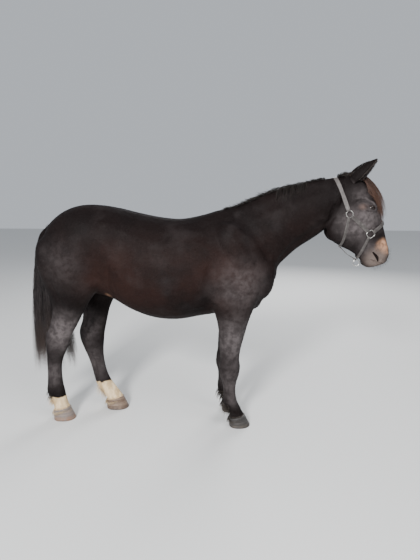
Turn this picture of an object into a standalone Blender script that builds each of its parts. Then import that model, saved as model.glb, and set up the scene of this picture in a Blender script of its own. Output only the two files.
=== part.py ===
"""A standing draught horse of the Noriker kind, life size, in a leather headcollar.

Metres, +Z up, the head towards +X, the horse's right side towards -Y.
The flesh is lofted through stations along the torso, neck, head and legs, fused and smoothed
as one body, and then parted with thin cuts into the pieces that a person would name.
"""

import math
from collections import namedtuple

import bmesh
import bpy
import numpy as np
from mathutils import Matrix, Vector
from mathutils.bvhtree import BVHTree

GAP = 0.0003  # between pieces that meet
PINCH = 0.00002  # how far two faces draw back from an edge that four share
VOXEL = 0.005  # grain of the fused body before it is faceted
SOFTENING = 0.036  # how far the forms melt into each other on the trunk
BODY_TRIANGLES = 2750
HEAD_TRIANGLES = 1150
RING_SIDES = 28
STEPS_BETWEEN = 4  # rings between two stations

# A station is one cross-section: its upper (or front) and lower (or back) edge in the XZ plane,
# its half width, the Y of its middle, how high its widest point lies, and how square each edge is.
Station = namedtuple(
    "Station", "up_x up_z low_x low_z half y widest up_square low_square",
    defaults=(0.0, 0.5, 2.0, 2.0),
)

TORSO = [
    Station(-1.097, 1.365, -1.060, 1.130, 0.105),
    Station(-1.042, 1.430, -1.000, 1.040, 0.185, widest=0.55, up_square=2.2),
    Station(-0.950, 1.498, -0.930, 0.965, 0.240, widest=0.56, up_square=2.3),
    Station(-0.860, 1.534, -0.860, 0.930, 0.265, widest=0.58, up_square=2.3),
    Station(-0.760, 1.544, -0.770, 0.915, 0.275, widest=0.58, up_square=2.2),
    Station(-0.600, 1.521, -0.640, 0.885, 0.268, widest=0.54, up_square=2.1),
    Station(-0.450, 1.486, -0.490, 0.808, 0.280, widest=0.47, low_square=2.2),
    Station(-0.300, 1.456, -0.330, 0.755, 0.296, widest=0.44, low_square=2.2),
    Station(-0.150, 1.443, -0.170, 0.747, 0.298, widest=0.43, low_square=2.2),
    Station(0.000, 1.470, -0.010, 0.772, 0.280, widest=0.42, up_square=1.8),
    Station(0.110, 1.503, 0.120, 0.792, 0.250, widest=0.42, up_square=1.6),
    Station(0.210, 1.514, 0.260, 0.805, 0.228, widest=0.40, up_square=1.6),
    Station(0.300, 1.490, 0.370, 0.850, 0.210, widest=0.40, up_square=1.8),
    Station(0.370, 1.410, 0.445, 0.925, 0.185, widest=0.42),
    Station(0.430, 1.310, 0.480, 1.020, 0.150, widest=0.45),
]
NECK = [
    Station(0.020, 1.440, 0.400, 0.980, 0.185, widest=0.45, up_square=1.7),
    Station(0.130, 1.498, 0.480, 1.060, 0.172, widest=0.42, up_square=1.6),
    Station(0.240, 1.532, 0.522, 1.135, 0.148, widest=0.40, up_square=1.5),
    Station(0.360, 1.583, 0.575, 1.190, 0.128, widest=0.40, up_square=1.5),
    Station(0.480, 1.630, 0.638, 1.247, 0.112, widest=0.40, up_square=1.5),
    Station(0.600, 1.668, 0.702, 1.290, 0.100, widest=0.42, up_square=1.5),
    Station(0.720, 1.694, 0.765, 1.333, 0.094, widest=0.45, up_square=1.6),
    Station(0.830, 1.709, 0.815, 1.375, 0.090, widest=0.50, up_square=1.7),
    Station(0.910, 1.722, 0.870, 1.420, 0.085, widest=0.55, up_square=1.9),
]
HEAD = [
    Station(0.925, 1.728, 0.850, 1.440, 0.070, widest=0.60),
    Station(1.000, 1.712, 0.830, 1.372, 0.084, widest=0.58, up_square=2.2),
    Station(1.070, 1.662, 0.838, 1.322, 0.093, widest=0.60, up_square=2.4),
    Station(1.128, 1.580, 0.872, 1.290, 0.092, widest=0.62, up_square=2.6, low_square=2.2),
    Station(1.160, 1.500, 0.920, 1.262, 0.082, widest=0.60, up_square=2.6, low_square=2.2),
    Station(1.183, 1.422, 0.972, 1.230, 0.070, widest=0.56, up_square=2.4),
    Station(1.204, 1.352, 1.012, 1.204, 0.061, widest=0.52, up_square=2.3),
    Station(1.222, 1.292, 1.044, 1.184, 0.058, widest=0.50, up_square=2.2),
    Station(1.238, 1.238, 1.060, 1.162, 0.061, widest=0.50, up_square=2.2, low_square=2.2),
    Station(1.232, 1.180, 1.078, 1.138, 0.060, widest=0.50, up_square=2.4, low_square=2.4),
]
FORELEG = [
    Station(0.410, 1.100, 0.070, 1.040, 0.090, 0.140),
    Station(0.395, 0.960, 0.055, 0.915, 0.094, 0.142),
    Station(0.350, 0.850, 0.078, 0.850, 0.088, 0.136),
    Station(0.318, 0.760, 0.106, 0.750, 0.076, 0.128, widest=0.55),
    Station(0.292, 0.660, 0.117, 0.650, 0.064, 0.121, widest=0.55),
    Station(0.268, 0.560, 0.121, 0.555, 0.054, 0.116),
    Station(0.260, 0.490, 0.124, 0.490, 0.052, 0.113),
    Station(0.266, 0.435, 0.119, 0.435, 0.056, 0.112, up_square=2.6),
    Station(0.258, 0.375, 0.121, 0.372, 0.050, 0.112, up_square=2.6),
    Station(0.243, 0.320, 0.140, 0.318, 0.038, 0.112),
    Station(0.236, 0.255, 0.148, 0.255, 0.034, 0.112),
    Station(0.243, 0.200, 0.147, 0.195, 0.042, 0.112),
    Station(0.255, 0.160, 0.158, 0.150, 0.045, 0.112),
    Station(0.275, 0.118, 0.184, 0.104, 0.040, 0.112),
    Station(0.296, 0.080, 0.196, 0.062, 0.048, 0.112),
    Station(0.318, 0.030, 0.190, 0.030, 0.050, 0.112),
]
HINDLEG_BACK = [
    Station(-0.660, 1.300, -1.110, 1.300, 0.120, 0.140, widest=0.50),
    Station(-0.655, 1.190, -1.128, 1.200, 0.128, 0.145, widest=0.50),
    Station(-0.660, 1.080, -1.112, 1.110, 0.122, 0.148, widest=0.52),
    Station(-0.700, 0.975, -1.084, 1.005, 0.102, 0.144, widest=0.55),
    Station(-0.765, 0.890, -1.048, 0.900, 0.081, 0.134, widest=0.55),
    Station(-0.821, 0.800, -1.042, 0.810, 0.067, 0.125, widest=0.55),
    Station(-0.878, 0.700, -1.070, 0.705, 0.052, 0.118, widest=0.58),
    Station(-0.925, 0.622, -1.107, 0.632, 0.044, 0.114, widest=0.60, low_square=1.8),
    Station(-0.948, 0.560, -1.114, 0.575, 0.047, 0.112, widest=0.60),
    Station(-0.974, 0.500, -1.110, 0.502, 0.046, 0.112, widest=0.55),
    Station(-1.002, 0.430, -1.113, 0.430, 0.039, 0.112),
    Station(-1.009, 0.340, -1.115, 0.340, 0.037, 0.112),
    Station(-1.005, 0.262, -1.121, 0.262, 0.042, 0.112),
    Station(-0.997, 0.215, -1.126, 0.208, 0.048, 0.112),
    Station(-0.987, 0.155, -1.098, 0.140, 0.043, 0.112),
    Station(-0.972, 0.092, -1.078, 0.068, 0.048, 0.112),
    Station(-0.955, 0.035, -1.076, 0.032, 0.050, 0.112),
]
HINDLEG_FORWARD = [
    Station(-0.640, 1.300, -1.105, 1.300, 0.120, 0.140, widest=0.50),
    Station(-0.610, 1.190, -1.118, 1.200, 0.128, 0.145, widest=0.50),
    Station(-0.595, 1.075, -1.085, 1.110, 0.120, 0.148, widest=0.52),
    Station(-0.622, 0.965, -1.030, 1.000, 0.100, 0.144, widest=0.55),
    Station(-0.670, 0.870, -0.970, 0.895, 0.080, 0.134, widest=0.55),
    Station(-0.712, 0.780, -0.925, 0.795, 0.066, 0.122, widest=0.55),
    Station(-0.736, 0.680, -0.922, 0.695, 0.052, 0.112, widest=0.58),
    Station(-0.754, 0.590, -0.948, 0.612, 0.044, 0.104, widest=0.60, low_square=1.8),
    Station(-0.762, 0.520, -0.946, 0.545, 0.047, 0.100, widest=0.60),
    Station(-0.768, 0.455, -0.920, 0.470, 0.046, 0.098, widest=0.55),
    Station(-0.766, 0.385, -0.888, 0.392, 0.038, 0.096),
    Station(-0.752, 0.305, -0.862, 0.305, 0.035, 0.094),
    Station(-0.732, 0.245, -0.845, 0.232, 0.040, 0.092),
    Station(-0.708, 0.200, -0.826, 0.176, 0.046, 0.090),
    Station(-0.668, 0.148, -0.782, 0.118, 0.041, 0.088),
    Station(-0.630, 0.092, -0.748, 0.062, 0.048, 0.086),
    Station(-0.612, 0.035, -0.746, 0.030, 0.050, 0.086),
]
FORE_OFF_SET_BACK = 0.070  # how far the left fore hoof stands behind the right one
FORE_SWING_TOP = 0.85  # the height above which both forelegs lie alike

# Rounded masses under the skin on both sides: centre, radii, pitch in degrees.
Mass = namedtuple("Mass", "centre radii pitch", defaults=(0.0,))
MASSES = [
    Mass((0.230, 0.120, 1.190), (0.150, 0.105, 0.250), -24.0),
    Mass((0.140, 0.140, 0.990), (0.125, 0.092, 0.140), 0.0),
    Mass((0.400, 0.085, 1.030), (0.085, 0.095, 0.130), 12.0),
    Mass((0.335, 0.080, 0.925), (0.075, 0.080, 0.090), 0.0),
    Mass((-0.870, 0.105, 1.330), (0.215, 0.140, 0.165), -28.0),
    Mass((-1.020, 0.092, 1.200), (0.075, 0.098, 0.190), 4.0),
    Mass((0.905, 0.055, 1.385), (0.088, 0.040, 0.100), 30.0),
    Mass((1.078, 0.074, 1.522), (0.050, 0.036, 0.038), 30.0),
    Mass((1.196, 0.040, 1.212), (0.034, 0.026, 0.036), 20.0),
    Mass((1.100, 0.022, 1.150), (0.040, 0.034, 0.026), 20.0),
]

# Strokes on both sides of the body: how far they raise (+) or press (-) the surface, how far
# they reach, and the line they follow, seen from the side.
Stroke = namedtuple("Stroke", "depth reach line")
STROKES = [
    Stroke(0.005, 0.016, [(1.035, 1.548), (1.062, 1.554), (1.092, 1.546), (1.110, 1.526)]),
    Stroke(0.002, 0.012, [(1.050, 1.503), (1.078, 1.495), (1.100, 1.498)]),
    Stroke(-0.006, 0.026, [(1.028, 1.592), (1.052, 1.602)]),
    Stroke(-0.003, 0.022, [(1.128, 1.505), (1.142, 1.470)]),
    Stroke(0.004, 0.013, [(1.085, 1.462), (1.105, 1.420), (1.122, 1.385)]),
    Stroke(-0.005, 0.024, [(1.035, 1.440), (1.020, 1.360), (1.000, 1.290)]),
    Stroke(-0.004, 0.026, [(1.150, 1.420), (1.170, 1.350), (1.178, 1.300)]),
    Stroke(0.004, 0.060, [(0.930, 1.430), (0.950, 1.360)]),
    Stroke(0.004, 0.015, [(1.045, 1.535), (1.010, 1.555), (0.975, 1.585)]),
    Stroke(0.005, 0.028, [(0.882, 1.610), (0.874, 1.550)]),
    Stroke(-0.008, 0.028, [(0.852, 1.520), (0.836, 1.440), (0.820, 1.385)]),
    Stroke(0.004, 0.012, [(1.138, 1.236), (1.166, 1.218), (1.182, 1.190), (1.176, 1.168)]),
    Stroke(0.003, 0.010, [(1.120, 1.218), (1.130, 1.192), (1.146, 1.168)]),
    Stroke(0.003, 0.016, [(1.200, 1.132), (1.140, 1.138)]),
    Stroke(-0.004, 0.018, [(1.078, 1.196), (1.068, 1.176)]),
    Stroke(-0.009, 0.042, [(0.790, 1.410), (0.700, 1.345), (0.600, 1.270), (0.530, 1.190)]),
    Stroke(-0.005, 0.050, [(0.750, 1.640), (0.550, 1.570), (0.360, 1.490)]),
    Stroke(-0.011, 0.055, [(0.230, 1.460), (0.330, 1.360), (0.430, 1.220)]),
    Stroke(-0.008, 0.070, [(0.020, 1.400), (0.030, 1.330)]),
    Stroke(0.004, 0.028, [(0.130, 1.420), (0.240, 1.300), (0.330, 1.170)]),
    Stroke(0.008, 0.055, [(0.415, 1.075)]),
    Stroke(-0.009, 0.048, [(0.075, 1.120), (0.045, 1.000), (0.060, 0.900)]),
    Stroke(-0.006, 0.030, [(0.340, 1.000), (0.300, 0.930)]),
    Stroke(0.008, 0.032, [(0.100, 0.905)]),
    Stroke(-0.010, 0.095, [(-0.520, 1.300), (-0.500, 1.220)]),
    Stroke(0.010, 0.055, [(-0.605, 1.415)]),
    Stroke(-0.008, 0.034, [(-0.600, 0.940), (-0.615, 1.020), (-0.600, 1.120)]),
    Stroke(0.010, 0.070, [(-0.715, 1.020)]),
    Stroke(-0.007, 0.036, [(-1.015, 1.310), (-1.010, 1.150), (-0.985, 1.000), (-0.950, 0.900)]),
    Stroke(0.005, 0.040, [(-1.070, 1.270), (-1.070, 1.120)]),
]
# The same along the middle of the body, where each point also states its Y.
MIDDLE_STROKES = [
    Stroke(-0.010, 0.030, [(0.520, 0.0, 1.080), (0.480, 0.0, 0.970), (0.410, 0.0, 0.860)]),
    Stroke(-0.022, 0.042, [(-1.130, 0.0, 1.300), (-1.120, 0.0, 1.150), (-1.060, 0.0, 1.020)]),
    Stroke(-0.012, 0.026, [(0.920, 0.0, 1.300), (0.990, 0.0, 1.230), (1.030, 0.0, 1.200)]),
    Stroke(-0.006, 0.045, [(-1.020, 0.0, 1.470), (-0.800, 0.0, 1.545), (-0.600, 0.0, 1.520)]),
    Stroke(-0.003, 0.014, [(1.243, 0.0, 1.250), (1.236, 0.0, 1.190)]),
]
# The same on both faces of a leg: each point is a share of the leg's depth, from its back edge
# to its front one, and a height.
LEG_STROKES = {
    "fore": [
        Stroke(-0.005, 0.022, [(0.45, 0.780), (0.42, 0.660), (0.45, 0.550)]),
        Stroke(0.004, 0.026, [(0.72, 0.440)]),
        Stroke(0.005, 0.016, [(0.08, 0.430)]),
        Stroke(-0.005, 0.013, [(0.42, 0.345), (0.42, 0.280), (0.42, 0.220)]),
        Stroke(0.003, 0.022, [(0.45, 0.165)]),
    ],
    "hind": [
        Stroke(0.005, 0.050, [(0.55, 0.880)]),
        Stroke(-0.008, 0.020, [(0.24, 0.780), (0.22, 0.720), (0.20, 0.660)]),
        Stroke(0.004, 0.026, [(0.50, 0.560)]),
        Stroke(-0.005, 0.013, [(0.42, 0.440), (0.42, 0.350), (0.42, 0.260)]),
        Stroke(0.003, 0.022, [(0.45, 0.200)]),
    ],
}

# Planes that part the body: a point and the outward normal, in the XZ plane unless tilted.
HEAD_CUT = ((0.848, 0.0, 1.555), (0.969, 0.0, -0.248))
NECK_CUT = ((0.310, 0.0, 1.305), (0.749, 0.0, 0.662))
FORELEG_CUT = ((0.220, 0.140, 0.842), (0.060, 0.430, 0.900))
HINDLEG_CUT = ((-0.900, 0.150, 0.980), (0.040, 0.520, 0.850))
ELBOW_FOLD = ((0.085, 0.0, 0.800), (-0.8, 0.0, 0.6))
FLANK_FOLD = ((-0.660, 0.0, 0.900), (0.70, 0.0, 0.71))
KNEE_CUT, HOCK_CUT = 0.350, 0.455

EYE_RADIUS = 0.021
EYE = (1.080, 0.0880, 1.518)
EYE_OUT = (0.30, 0.95, 0.05)  # the way the eye looks, on the left side
EYE_LONG_WAY = (0.88, 0.0, -0.47)  # from the back corner to the front one
LID_LENGTH, LID_OPEN, LID_THICK = 0.036, 0.015, 0.0028
EAR_BASE, EAR_TIP = (0.980, 0.050, 1.688), (1.100, 0.082, 1.818)

COAT = ("coat", (0.036, 0.026, 0.022), 0.62)
HORN = ("horn", (0.30, 0.23, 0.17), 0.45)
HAIR = ("hair", (0.022, 0.017, 0.015), 0.55)
EYE_SKIN = ("eye", (0.012, 0.008, 0.006), 0.08)
LEATHER = ("leather", (0.115, 0.090, 0.075), 0.55)
STEEL = ("steel", (0.62, 0.61, 0.58), 0.30)


def clear_scene():
    for obj in list(bpy.data.objects):
        bpy.data.objects.remove(obj, do_unlink=True)


def material(kind):
    name, colour, roughness = kind
    found = bpy.data.materials.get(name)
    if found:
        return found
    made = bpy.data.materials.new(name)
    made.use_nodes = True
    shader = made.node_tree.nodes["Principled BSDF"]
    shader.inputs["Base Color"].default_value = (*colour, 1.0)
    shader.inputs["Roughness"].default_value = roughness
    shader.inputs["Metallic"].default_value = 1.0 if name == "steel" else 0.0
    return made


def mesh_object(name, points, faces, kind=COAT):
    mesh = bpy.data.meshes.new(name)
    mesh.from_pydata([tuple(p) for p in points], [], [tuple(f) for f in faces])
    shape = bmesh.new()
    shape.from_mesh(mesh)
    bmesh.ops.recalc_face_normals(shape, faces=shape.faces)
    shape.to_mesh(mesh)
    shape.free()
    obj = bpy.data.objects.new(name, mesh)
    obj.data.materials.append(material(kind))
    bpy.context.scene.collection.objects.link(obj)
    return obj


def settle(obj):
    """Makes the mesh as its modifiers shape it, and drops them."""
    graph = bpy.context.evaluated_depsgraph_get()
    made = bpy.data.meshes.new_from_object(obj.evaluated_get(graph), depsgraph=graph)
    old = obj.data
    obj.modifiers.clear()
    obj.data = made
    bpy.data.meshes.remove(old)
    return obj


def through(rows, steps):
    """Rows of numbers on a smooth curve through the given rows."""
    rows = np.array(rows, float)
    ends = np.vstack([2 * rows[0] - rows[1], rows, 2 * rows[-1] - rows[-2]])
    made = []
    for i in range(1, len(ends) - 2):
        a, b, c, d = ends[i - 1 : i + 3]
        for t in np.arange(steps) / steps:
            made.append(
                0.5 * (2 * b + (c - a) * t + (2 * a - 5 * b + 4 * c - d) * t**2
                       + (3 * b - a - 3 * c + d) * t**3)
            )
    made.append(rows[-1])
    return np.array(made)


def section(station, sides):
    """The ring of points of one cross-section."""
    s = Station(*station)
    points = []
    for k in range(sides):
        turn = 2 * math.pi * k / sides
        across, along = math.cos(turn), math.sin(turn)
        power = 2.0 / (s.up_square if along >= 0 else s.low_square)
        side = math.copysign(abs(across) ** power, across) * s.half
        reach = (1 - s.widest) if along >= 0 else -s.widest
        height = s.widest + reach * abs(along) ** power
        points.append((
            s.low_x + (s.up_x - s.low_x) * height,
            s.y + side,
            s.low_z + (s.up_z - s.low_z) * height,
        ))
    return np.array(points)


def domed(ring, before, length, rounds=3):
    """Rings that close a loft with a rounded end."""
    middle = ring.mean(0)
    way = middle - before.mean(0)
    way /= np.linalg.norm(way)
    made = []
    for k in range(1, rounds + 1):
        turn = math.pi / 2 * k / (rounds + 0.6)
        made.append(middle + (ring - middle) * math.cos(turn) + way * length * math.sin(turn))
    return made


def lofted(name, stations, first_dome=0.0, last_dome=0.0, kind=COAT, sides=RING_SIDES,
           steps=STEPS_BETWEEN):
    rings = [section(row, sides) for row in through(stations, steps)]
    if first_dome:
        rings = domed(rings[0], rings[1], first_dome)[::-1] + rings
    if last_dome:
        rings = rings + domed(rings[-1], rings[-2], last_dome)
    return skinned(name, rings, kind)


def skinned(name, rings, kind=COAT):
    """A closed mesh over rings of equal count, capped with flat fans."""
    sides = len(rings[0])
    points = np.vstack(rings)
    faces = []
    for r in range(len(rings) - 1):
        for k in range(sides):
            a, b = r * sides + k, r * sides + (k + 1) % sides
            faces.append((a, b, b + sides, a + sides))
    faces.append(range(sides)[::-1])
    faces.append(range((len(rings) - 1) * sides, len(rings) * sides))
    return mesh_object(name, points, faces, kind)


def ball(name, centre, radii, pitch=0.0, kind=COAT, detail=3):
    """An ellipsoid, tipped nose down by pitch degrees."""
    shape = bmesh.new()
    bmesh.ops.create_icosphere(shape, subdivisions=detail, radius=1.0)
    place = (
        Matrix.Translation(centre)
        @ Matrix.Rotation(math.radians(pitch), 4, "Y")
        @ Matrix.Diagonal((*radii, 1.0))
    )
    bmesh.ops.transform(shape, matrix=place, verts=shape.verts)
    mesh = bpy.data.meshes.new(name)
    shape.to_mesh(mesh)
    shape.free()
    obj = bpy.data.objects.new(name, mesh)
    obj.data.materials.append(material(kind))
    bpy.context.scene.collection.objects.link(obj)
    return obj


def mirrored(stations, side):
    """A leg's stations on the horse's right (-1) or left (1) side."""
    return [Station(*s)._replace(y=side * s.y) for s in stations]


def swung_back(stations, distance, top):
    """A leg whose foot stands further back, and whose top stays."""
    made = []
    for s in stations:
        low = max(0.0, 1 - (s.up_z + s.low_z) / 2 / top)
        made.append(s._replace(up_x=s.up_x - distance * low, low_x=s.low_x - distance * low))
    return made


def legs():
    """Name, stations and cut height of each leg."""
    return {
        "fore_right": (mirrored(FORELEG, -1), KNEE_CUT),
        "fore_left": (
            mirrored(swung_back(FORELEG, FORE_OFF_SET_BACK, FORE_SWING_TOP), 1), KNEE_CUT),
        "hind_right": (mirrored(HINDLEG_BACK, -1), HOCK_CUT),
        "hind_left": (mirrored(HINDLEG_FORWARD, 1), HOCK_CUT - 0.02),
    }


def flesh(voxel):
    """The whole horse's flesh as one smooth closed surface."""
    pieces = [
        lofted("torso_form", TORSO, 0.035, 0.045),
        lofted("neck_form", NECK, 0.02, 0.02),
        lofted("head_form", HEAD, 0.03, 0.030),
    ]
    for name, (stations, _) in legs().items():
        pieces.append(lofted(name + "_form", stations, 0.03, 0.0))
    for i, mass in enumerate(MASSES):
        for side in (-1, 1):
            x, y, z = mass.centre
            pieces.append(ball(f"mass_{i}_{side}", (x, side * y, z), mass.radii, mass.pitch))
    body = joined("body", pieces)
    remesh = body.modifiers.new("fuse", "REMESH")
    remesh.mode = "VOXEL"
    remesh.voxel_size = voxel
    settle(body)
    group = body.vertex_groups.new(name="soft")
    for level in range(1, 11):
        chosen = np.flatnonzero(np.rint(softness(vertex_array(body)) * 10) == level)
        group.add(chosen.tolist(), level / 10, "REPLACE")
    smooth = body.modifiers.new("soften", "SMOOTH")
    smooth.factor = 0.5
    smooth.iterations = round((SOFTENING / voxel) ** 2)
    smooth.vertex_group = "soft"
    settle(body)
    body.vertex_groups.clear()
    press(body)
    return body


def vertex_array(obj, what="co"):
    mesh = obj.data
    values = np.empty(len(mesh.vertices) * 3)
    source = mesh.vertices if what == "co" else mesh.vertex_normals
    source.foreach_get("co" if what == "co" else "vector", values)
    return values.reshape(-1, 3)


def ramp(values, low, high):
    share = np.clip((values - low) / (high - low), 0, 1)
    return share * share * (3 - 2 * share)


def softness(points):
    """How freely the surface relaxes: fully on the trunk, little on the legs and the head."""
    x, z = points[:, 0], points[:, 2]
    trunk = np.maximum(ramp(z, 0.74, 0.94), ramp(x, -0.66, -0.56) * (1 - ramp(x, 0.03, 0.11)))
    point, normal = HEAD_CUT
    ahead = (x - point[0]) * normal[0] + (z - point[2]) * normal[2]
    behind = 1 - ramp(ahead, -0.06, 0.03)
    return np.clip(0.2 * behind + 0.8 * trunk * behind, 0.1, 1.0)


def press(body):
    """Presses and raises the strokes in the surface of the body."""
    tree = BVHTree.FromObject(body, bpy.context.evaluated_depsgraph_get())
    points, normals = vertex_array(body), vertex_array(body, "normal")
    moved = np.zeros(len(points))
    lines = [(s, [Vector(p) for p in s.line]) for s in MIDDLE_STROKES]
    for stroke in STROKES:
        for side in (-1, 1):
            hits = [tree.ray_cast(Vector((x, side, z)), Vector((0, -side, 0)))[0]
                    for x, z in stroke.line]
            lines.append((stroke, [hit for hit in hits if hit]))
    for name, (stations, _) in legs().items():
        for stroke in LEG_STROKES[name[:4]]:
            for face in (-1, 1):
                line = [leg_point(stations, share, height, face) for share, height in stroke.line]
                lines.append((stroke, [tree.find_nearest(p)[0] for p in line]))
    for stroke, line in lines:
        moved += stroke.depth * fade(points, line, stroke.reach)
    points += normals * moved[:, None]
    body.data.vertices.foreach_set("co", points.ravel())
    body.data.update()


def leg_point(stations, share, height, face):
    """A point on a leg's inner or outer face."""
    rows = through(stations, STEPS_BETWEEN)[::-1]
    middle = (rows[:, 1] + rows[:, 3]) / 2
    s = Station(*(np.interp(height, middle, rows[:, i]) for i in range(rows.shape[1])))
    out = math.sqrt(max(0.0, 1 - (2 * share - 1) ** 2))
    return Vector((s.low_x + share * (s.up_x - s.low_x), s.y + face * s.half * out, height))


def fade(points, line, reach):
    """1 on a line, falling softly to 0 at reach from it."""
    line = np.array([tuple(p) for p in line])
    near = np.all((points > line.min(0) - reach) & (points < line.max(0) + reach), axis=1)
    close = points[near]
    best = np.full(len(close), np.inf)
    for a, b in zip(line, line[1:] if len(line) > 1 else line):
        run = b - a
        share = np.clip((close - a) @ run / max(run @ run, 1e-12), 0, 1)
        best = np.minimum(best, np.linalg.norm(close - a - share[:, None] * run, axis=1))
    strength = np.zeros(len(points))
    strength[near] = np.clip(1 - (best / reach) ** 2, 0, 1) ** 2
    return strength


def faceted(obj, triangles):
    """The mesh thinned out to about so many triangles."""
    thin = obj.modifiers.new("facet", "DECIMATE")
    thin.ratio = triangles / (2 * len(obj.data.polygons))
    return settle(obj)


def chunk(body, name, plane, margin):
    """The closed part of the body behind a plane, and a little past it."""
    point, normal = moved_plane(plane, margin)
    made = copied(body, name)
    shape = bmesh.new()
    shape.from_mesh(made.data)
    bmesh.ops.bisect_plane(shape, geom=shape.verts[:] + shape.edges[:] + shape.faces[:],
                           plane_co=point, plane_no=normal, clear_outer=True)
    rim = [e for e in shape.edges if len(e.link_faces) == 1]
    bmesh.ops.edgeloop_fill(shape, edges=rim)
    bmesh.ops.triangulate(shape, faces=[f for f in shape.faces if len(f.verts) > 4])
    bmesh.ops.recalc_face_normals(shape, faces=shape.faces)
    shape.to_mesh(made.data)
    shape.free()
    return made


def joined(name, pieces):
    """One object with the meshes of several, which are removed."""
    points, faces = [], []
    for piece in pieces:
        base = len(points)
        points += [piece.matrix_world @ v.co for v in piece.data.vertices]
        faces += [[base + i for i in p.vertices] for p in piece.data.polygons]
        bpy.data.objects.remove(piece, do_unlink=True)
    return mesh_object(name, points, faces)


def half_spaces(name, planes, reach=3.0):
    """The convex block behind all the planes, each a point and an outward normal."""
    shape = bmesh.new()
    bmesh.ops.create_cube(shape, size=2 * reach)
    for point, normal in planes:
        cut = bmesh.ops.bisect_plane(
            shape, geom=shape.verts[:] + shape.edges[:] + shape.faces[:],
            plane_co=point, plane_no=normal, clear_outer=True)
        edges = [e for e in cut["geom_cut"] if isinstance(e, bmesh.types.BMEdge)]
        bmesh.ops.edgenet_fill(shape, edges=edges)
    bmesh.ops.recalc_face_normals(shape, faces=shape.faces)
    bmesh.ops.triangulate(shape, faces=shape.faces)
    mesh = bpy.data.meshes.new(name)
    shape.to_mesh(mesh)
    shape.free()
    obj = bpy.data.objects.new(name, mesh)
    bpy.context.scene.collection.objects.link(obj)
    return obj


def moved_plane(plane, distance):
    point, normal = Vector(plane[0]), Vector(plane[1]).normalized()
    return (point + normal * distance, normal)


def flipped(plane):
    return (Vector(plane[0]), -Vector(plane[1]))


def level(height, up):
    """A level plane whose kept side is below it (up) or above it."""
    return ((0, 0, height), (0, 0, 1 if up else -1))


def boolean(obj, other, operation):
    """Combines obj with another object, which is removed."""
    step = obj.modifiers.new(operation, "BOOLEAN")
    step.operation = operation
    step.solver = "EXACT"
    step.object = other
    settle(obj)
    bpy.data.objects.remove(other, do_unlink=True)
    return obj


def largest_surface(obj):
    """Keeps the largest closed surface of a mesh, as triangles."""
    shape = bmesh.new()
    shape.from_mesh(obj.data)
    bmesh.ops.triangulate(shape, faces=shape.faces)
    for edge in list(shape.edges):
        if len(edge.link_faces) == 4:
            part_edge(shape, edge)
    left = set(shape.faces)
    shells = []
    while left:
        found, front = set(), [left.pop()]
        while front:
            face = front.pop()
            found.add(face)
            near = {f for e in face.edges for f in e.link_faces if f in left}
            left -= near
            front += near
        shells.append(found)
    keep = max(shells, key=enclosed)
    bmesh.ops.delete(shape, geom=[f for f in shape.faces if f not in keep], context="FACES")
    shape.to_mesh(obj.data)
    shape.free()
    return obj


def enclosed(faces):
    """The volume inside triangles that face outward."""
    corners = ([v.co for v in face.verts] for face in faces)
    return abs(sum(a.dot(b.cross(c)) / 6 for a, b, c in corners))


def part_edge(shape, edge):
    """Where four faces share an edge, gives two of them, round one wedge of solid, their own."""
    a, b = edge.verts
    along = (b.co - a.co).normalized()
    first = along.orthogonal().normalized()
    second = along.cross(first)
    turns, solid_after = {}, {}
    for face in edge.link_faces:
        tip = next(v for v in face.verts if v not in edge.verts)
        off = tip.co - a.co
        turn = math.atan2(off.dot(second), off.dot(first))
        turns[face] = turn
        rising = second * math.cos(turn) - first * math.sin(turn)
        solid_after[face] = face.normal.dot(rising) < 0
    faces = sorted(turns, key=turns.get)
    wedges = [p for p in zip(faces, faces[1:] + faces[:1])
              if solid_after[p[0]] and not solid_after[p[1]]]
    pair = list(wedges[0])
    rings = [[v for v in face.verts] for face in pair]
    inward = -(pair[0].normal + pair[1].normal).normalized()
    bmesh.ops.delete(shape, geom=pair, context="FACES_ONLY")
    if set(rings[0]) == set(rings[1]):
        return
    middle = shape.verts.new((a.co + b.co) / 2 + inward * PINCH)
    for ring in rings:
        place = next(i for i in range(3) if {ring[i], ring[(i + 1) % 3]} == {a, b})
        start, end, tip = (ring[(place + i) % 3] for i in range(3))
        shape.faces.new((start, middle, tip))
        shape.faces.new((middle, end, tip))


def copied(obj, name):
    made = bpy.data.objects.new(name, obj.data.copy())
    bpy.context.scene.collection.objects.link(made)
    return made


def grown(obj, name, distance):
    """A copy whose surface stands off by distance."""
    made = copied(obj, name)
    mesh = made.data
    count = len(mesh.vertices)
    points = np.empty(count * 3)
    normals = np.empty(count * 3)
    mesh.vertices.foreach_get("co", points)
    mesh.vertex_normals.foreach_get("vector", normals)
    mesh.vertices.foreach_set("co", (points + normals * distance).astype(np.float32))
    mesh.update()
    return made


def region_planes():
    """For each leg, the planes that bound it, upper part first."""
    regions = {}
    for name, (stations, cut) in legs().items():
        side = -1 if name.endswith("right") else 1
        point, normal = FORELEG_CUT if name.startswith("fore") else HINDLEG_CUT
        top = ((point[0], side * point[1], point[2]), (normal[0], side * -normal[1], normal[2]))
        middle = ((0, side * 0.004, 0), (0, -side, 0))
        fold = ELBOW_FOLD if name.startswith("fore") else FLANK_FOLD
        regions[name] = ([top, middle, fold], cut, stations)
    return regions


def coronet_plane(stations):
    """The slanting plane of a hoof's top, with the leg on its upper side."""
    s = stations[-2]
    slope = math.atan2(s.up_z - s.low_z, s.up_x - s.low_x)
    middle = ((s.up_x + s.low_x) / 2, 0, (s.up_z + s.low_z) / 2)
    return (middle, (-math.sin(slope), 0, math.cos(slope)))


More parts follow.
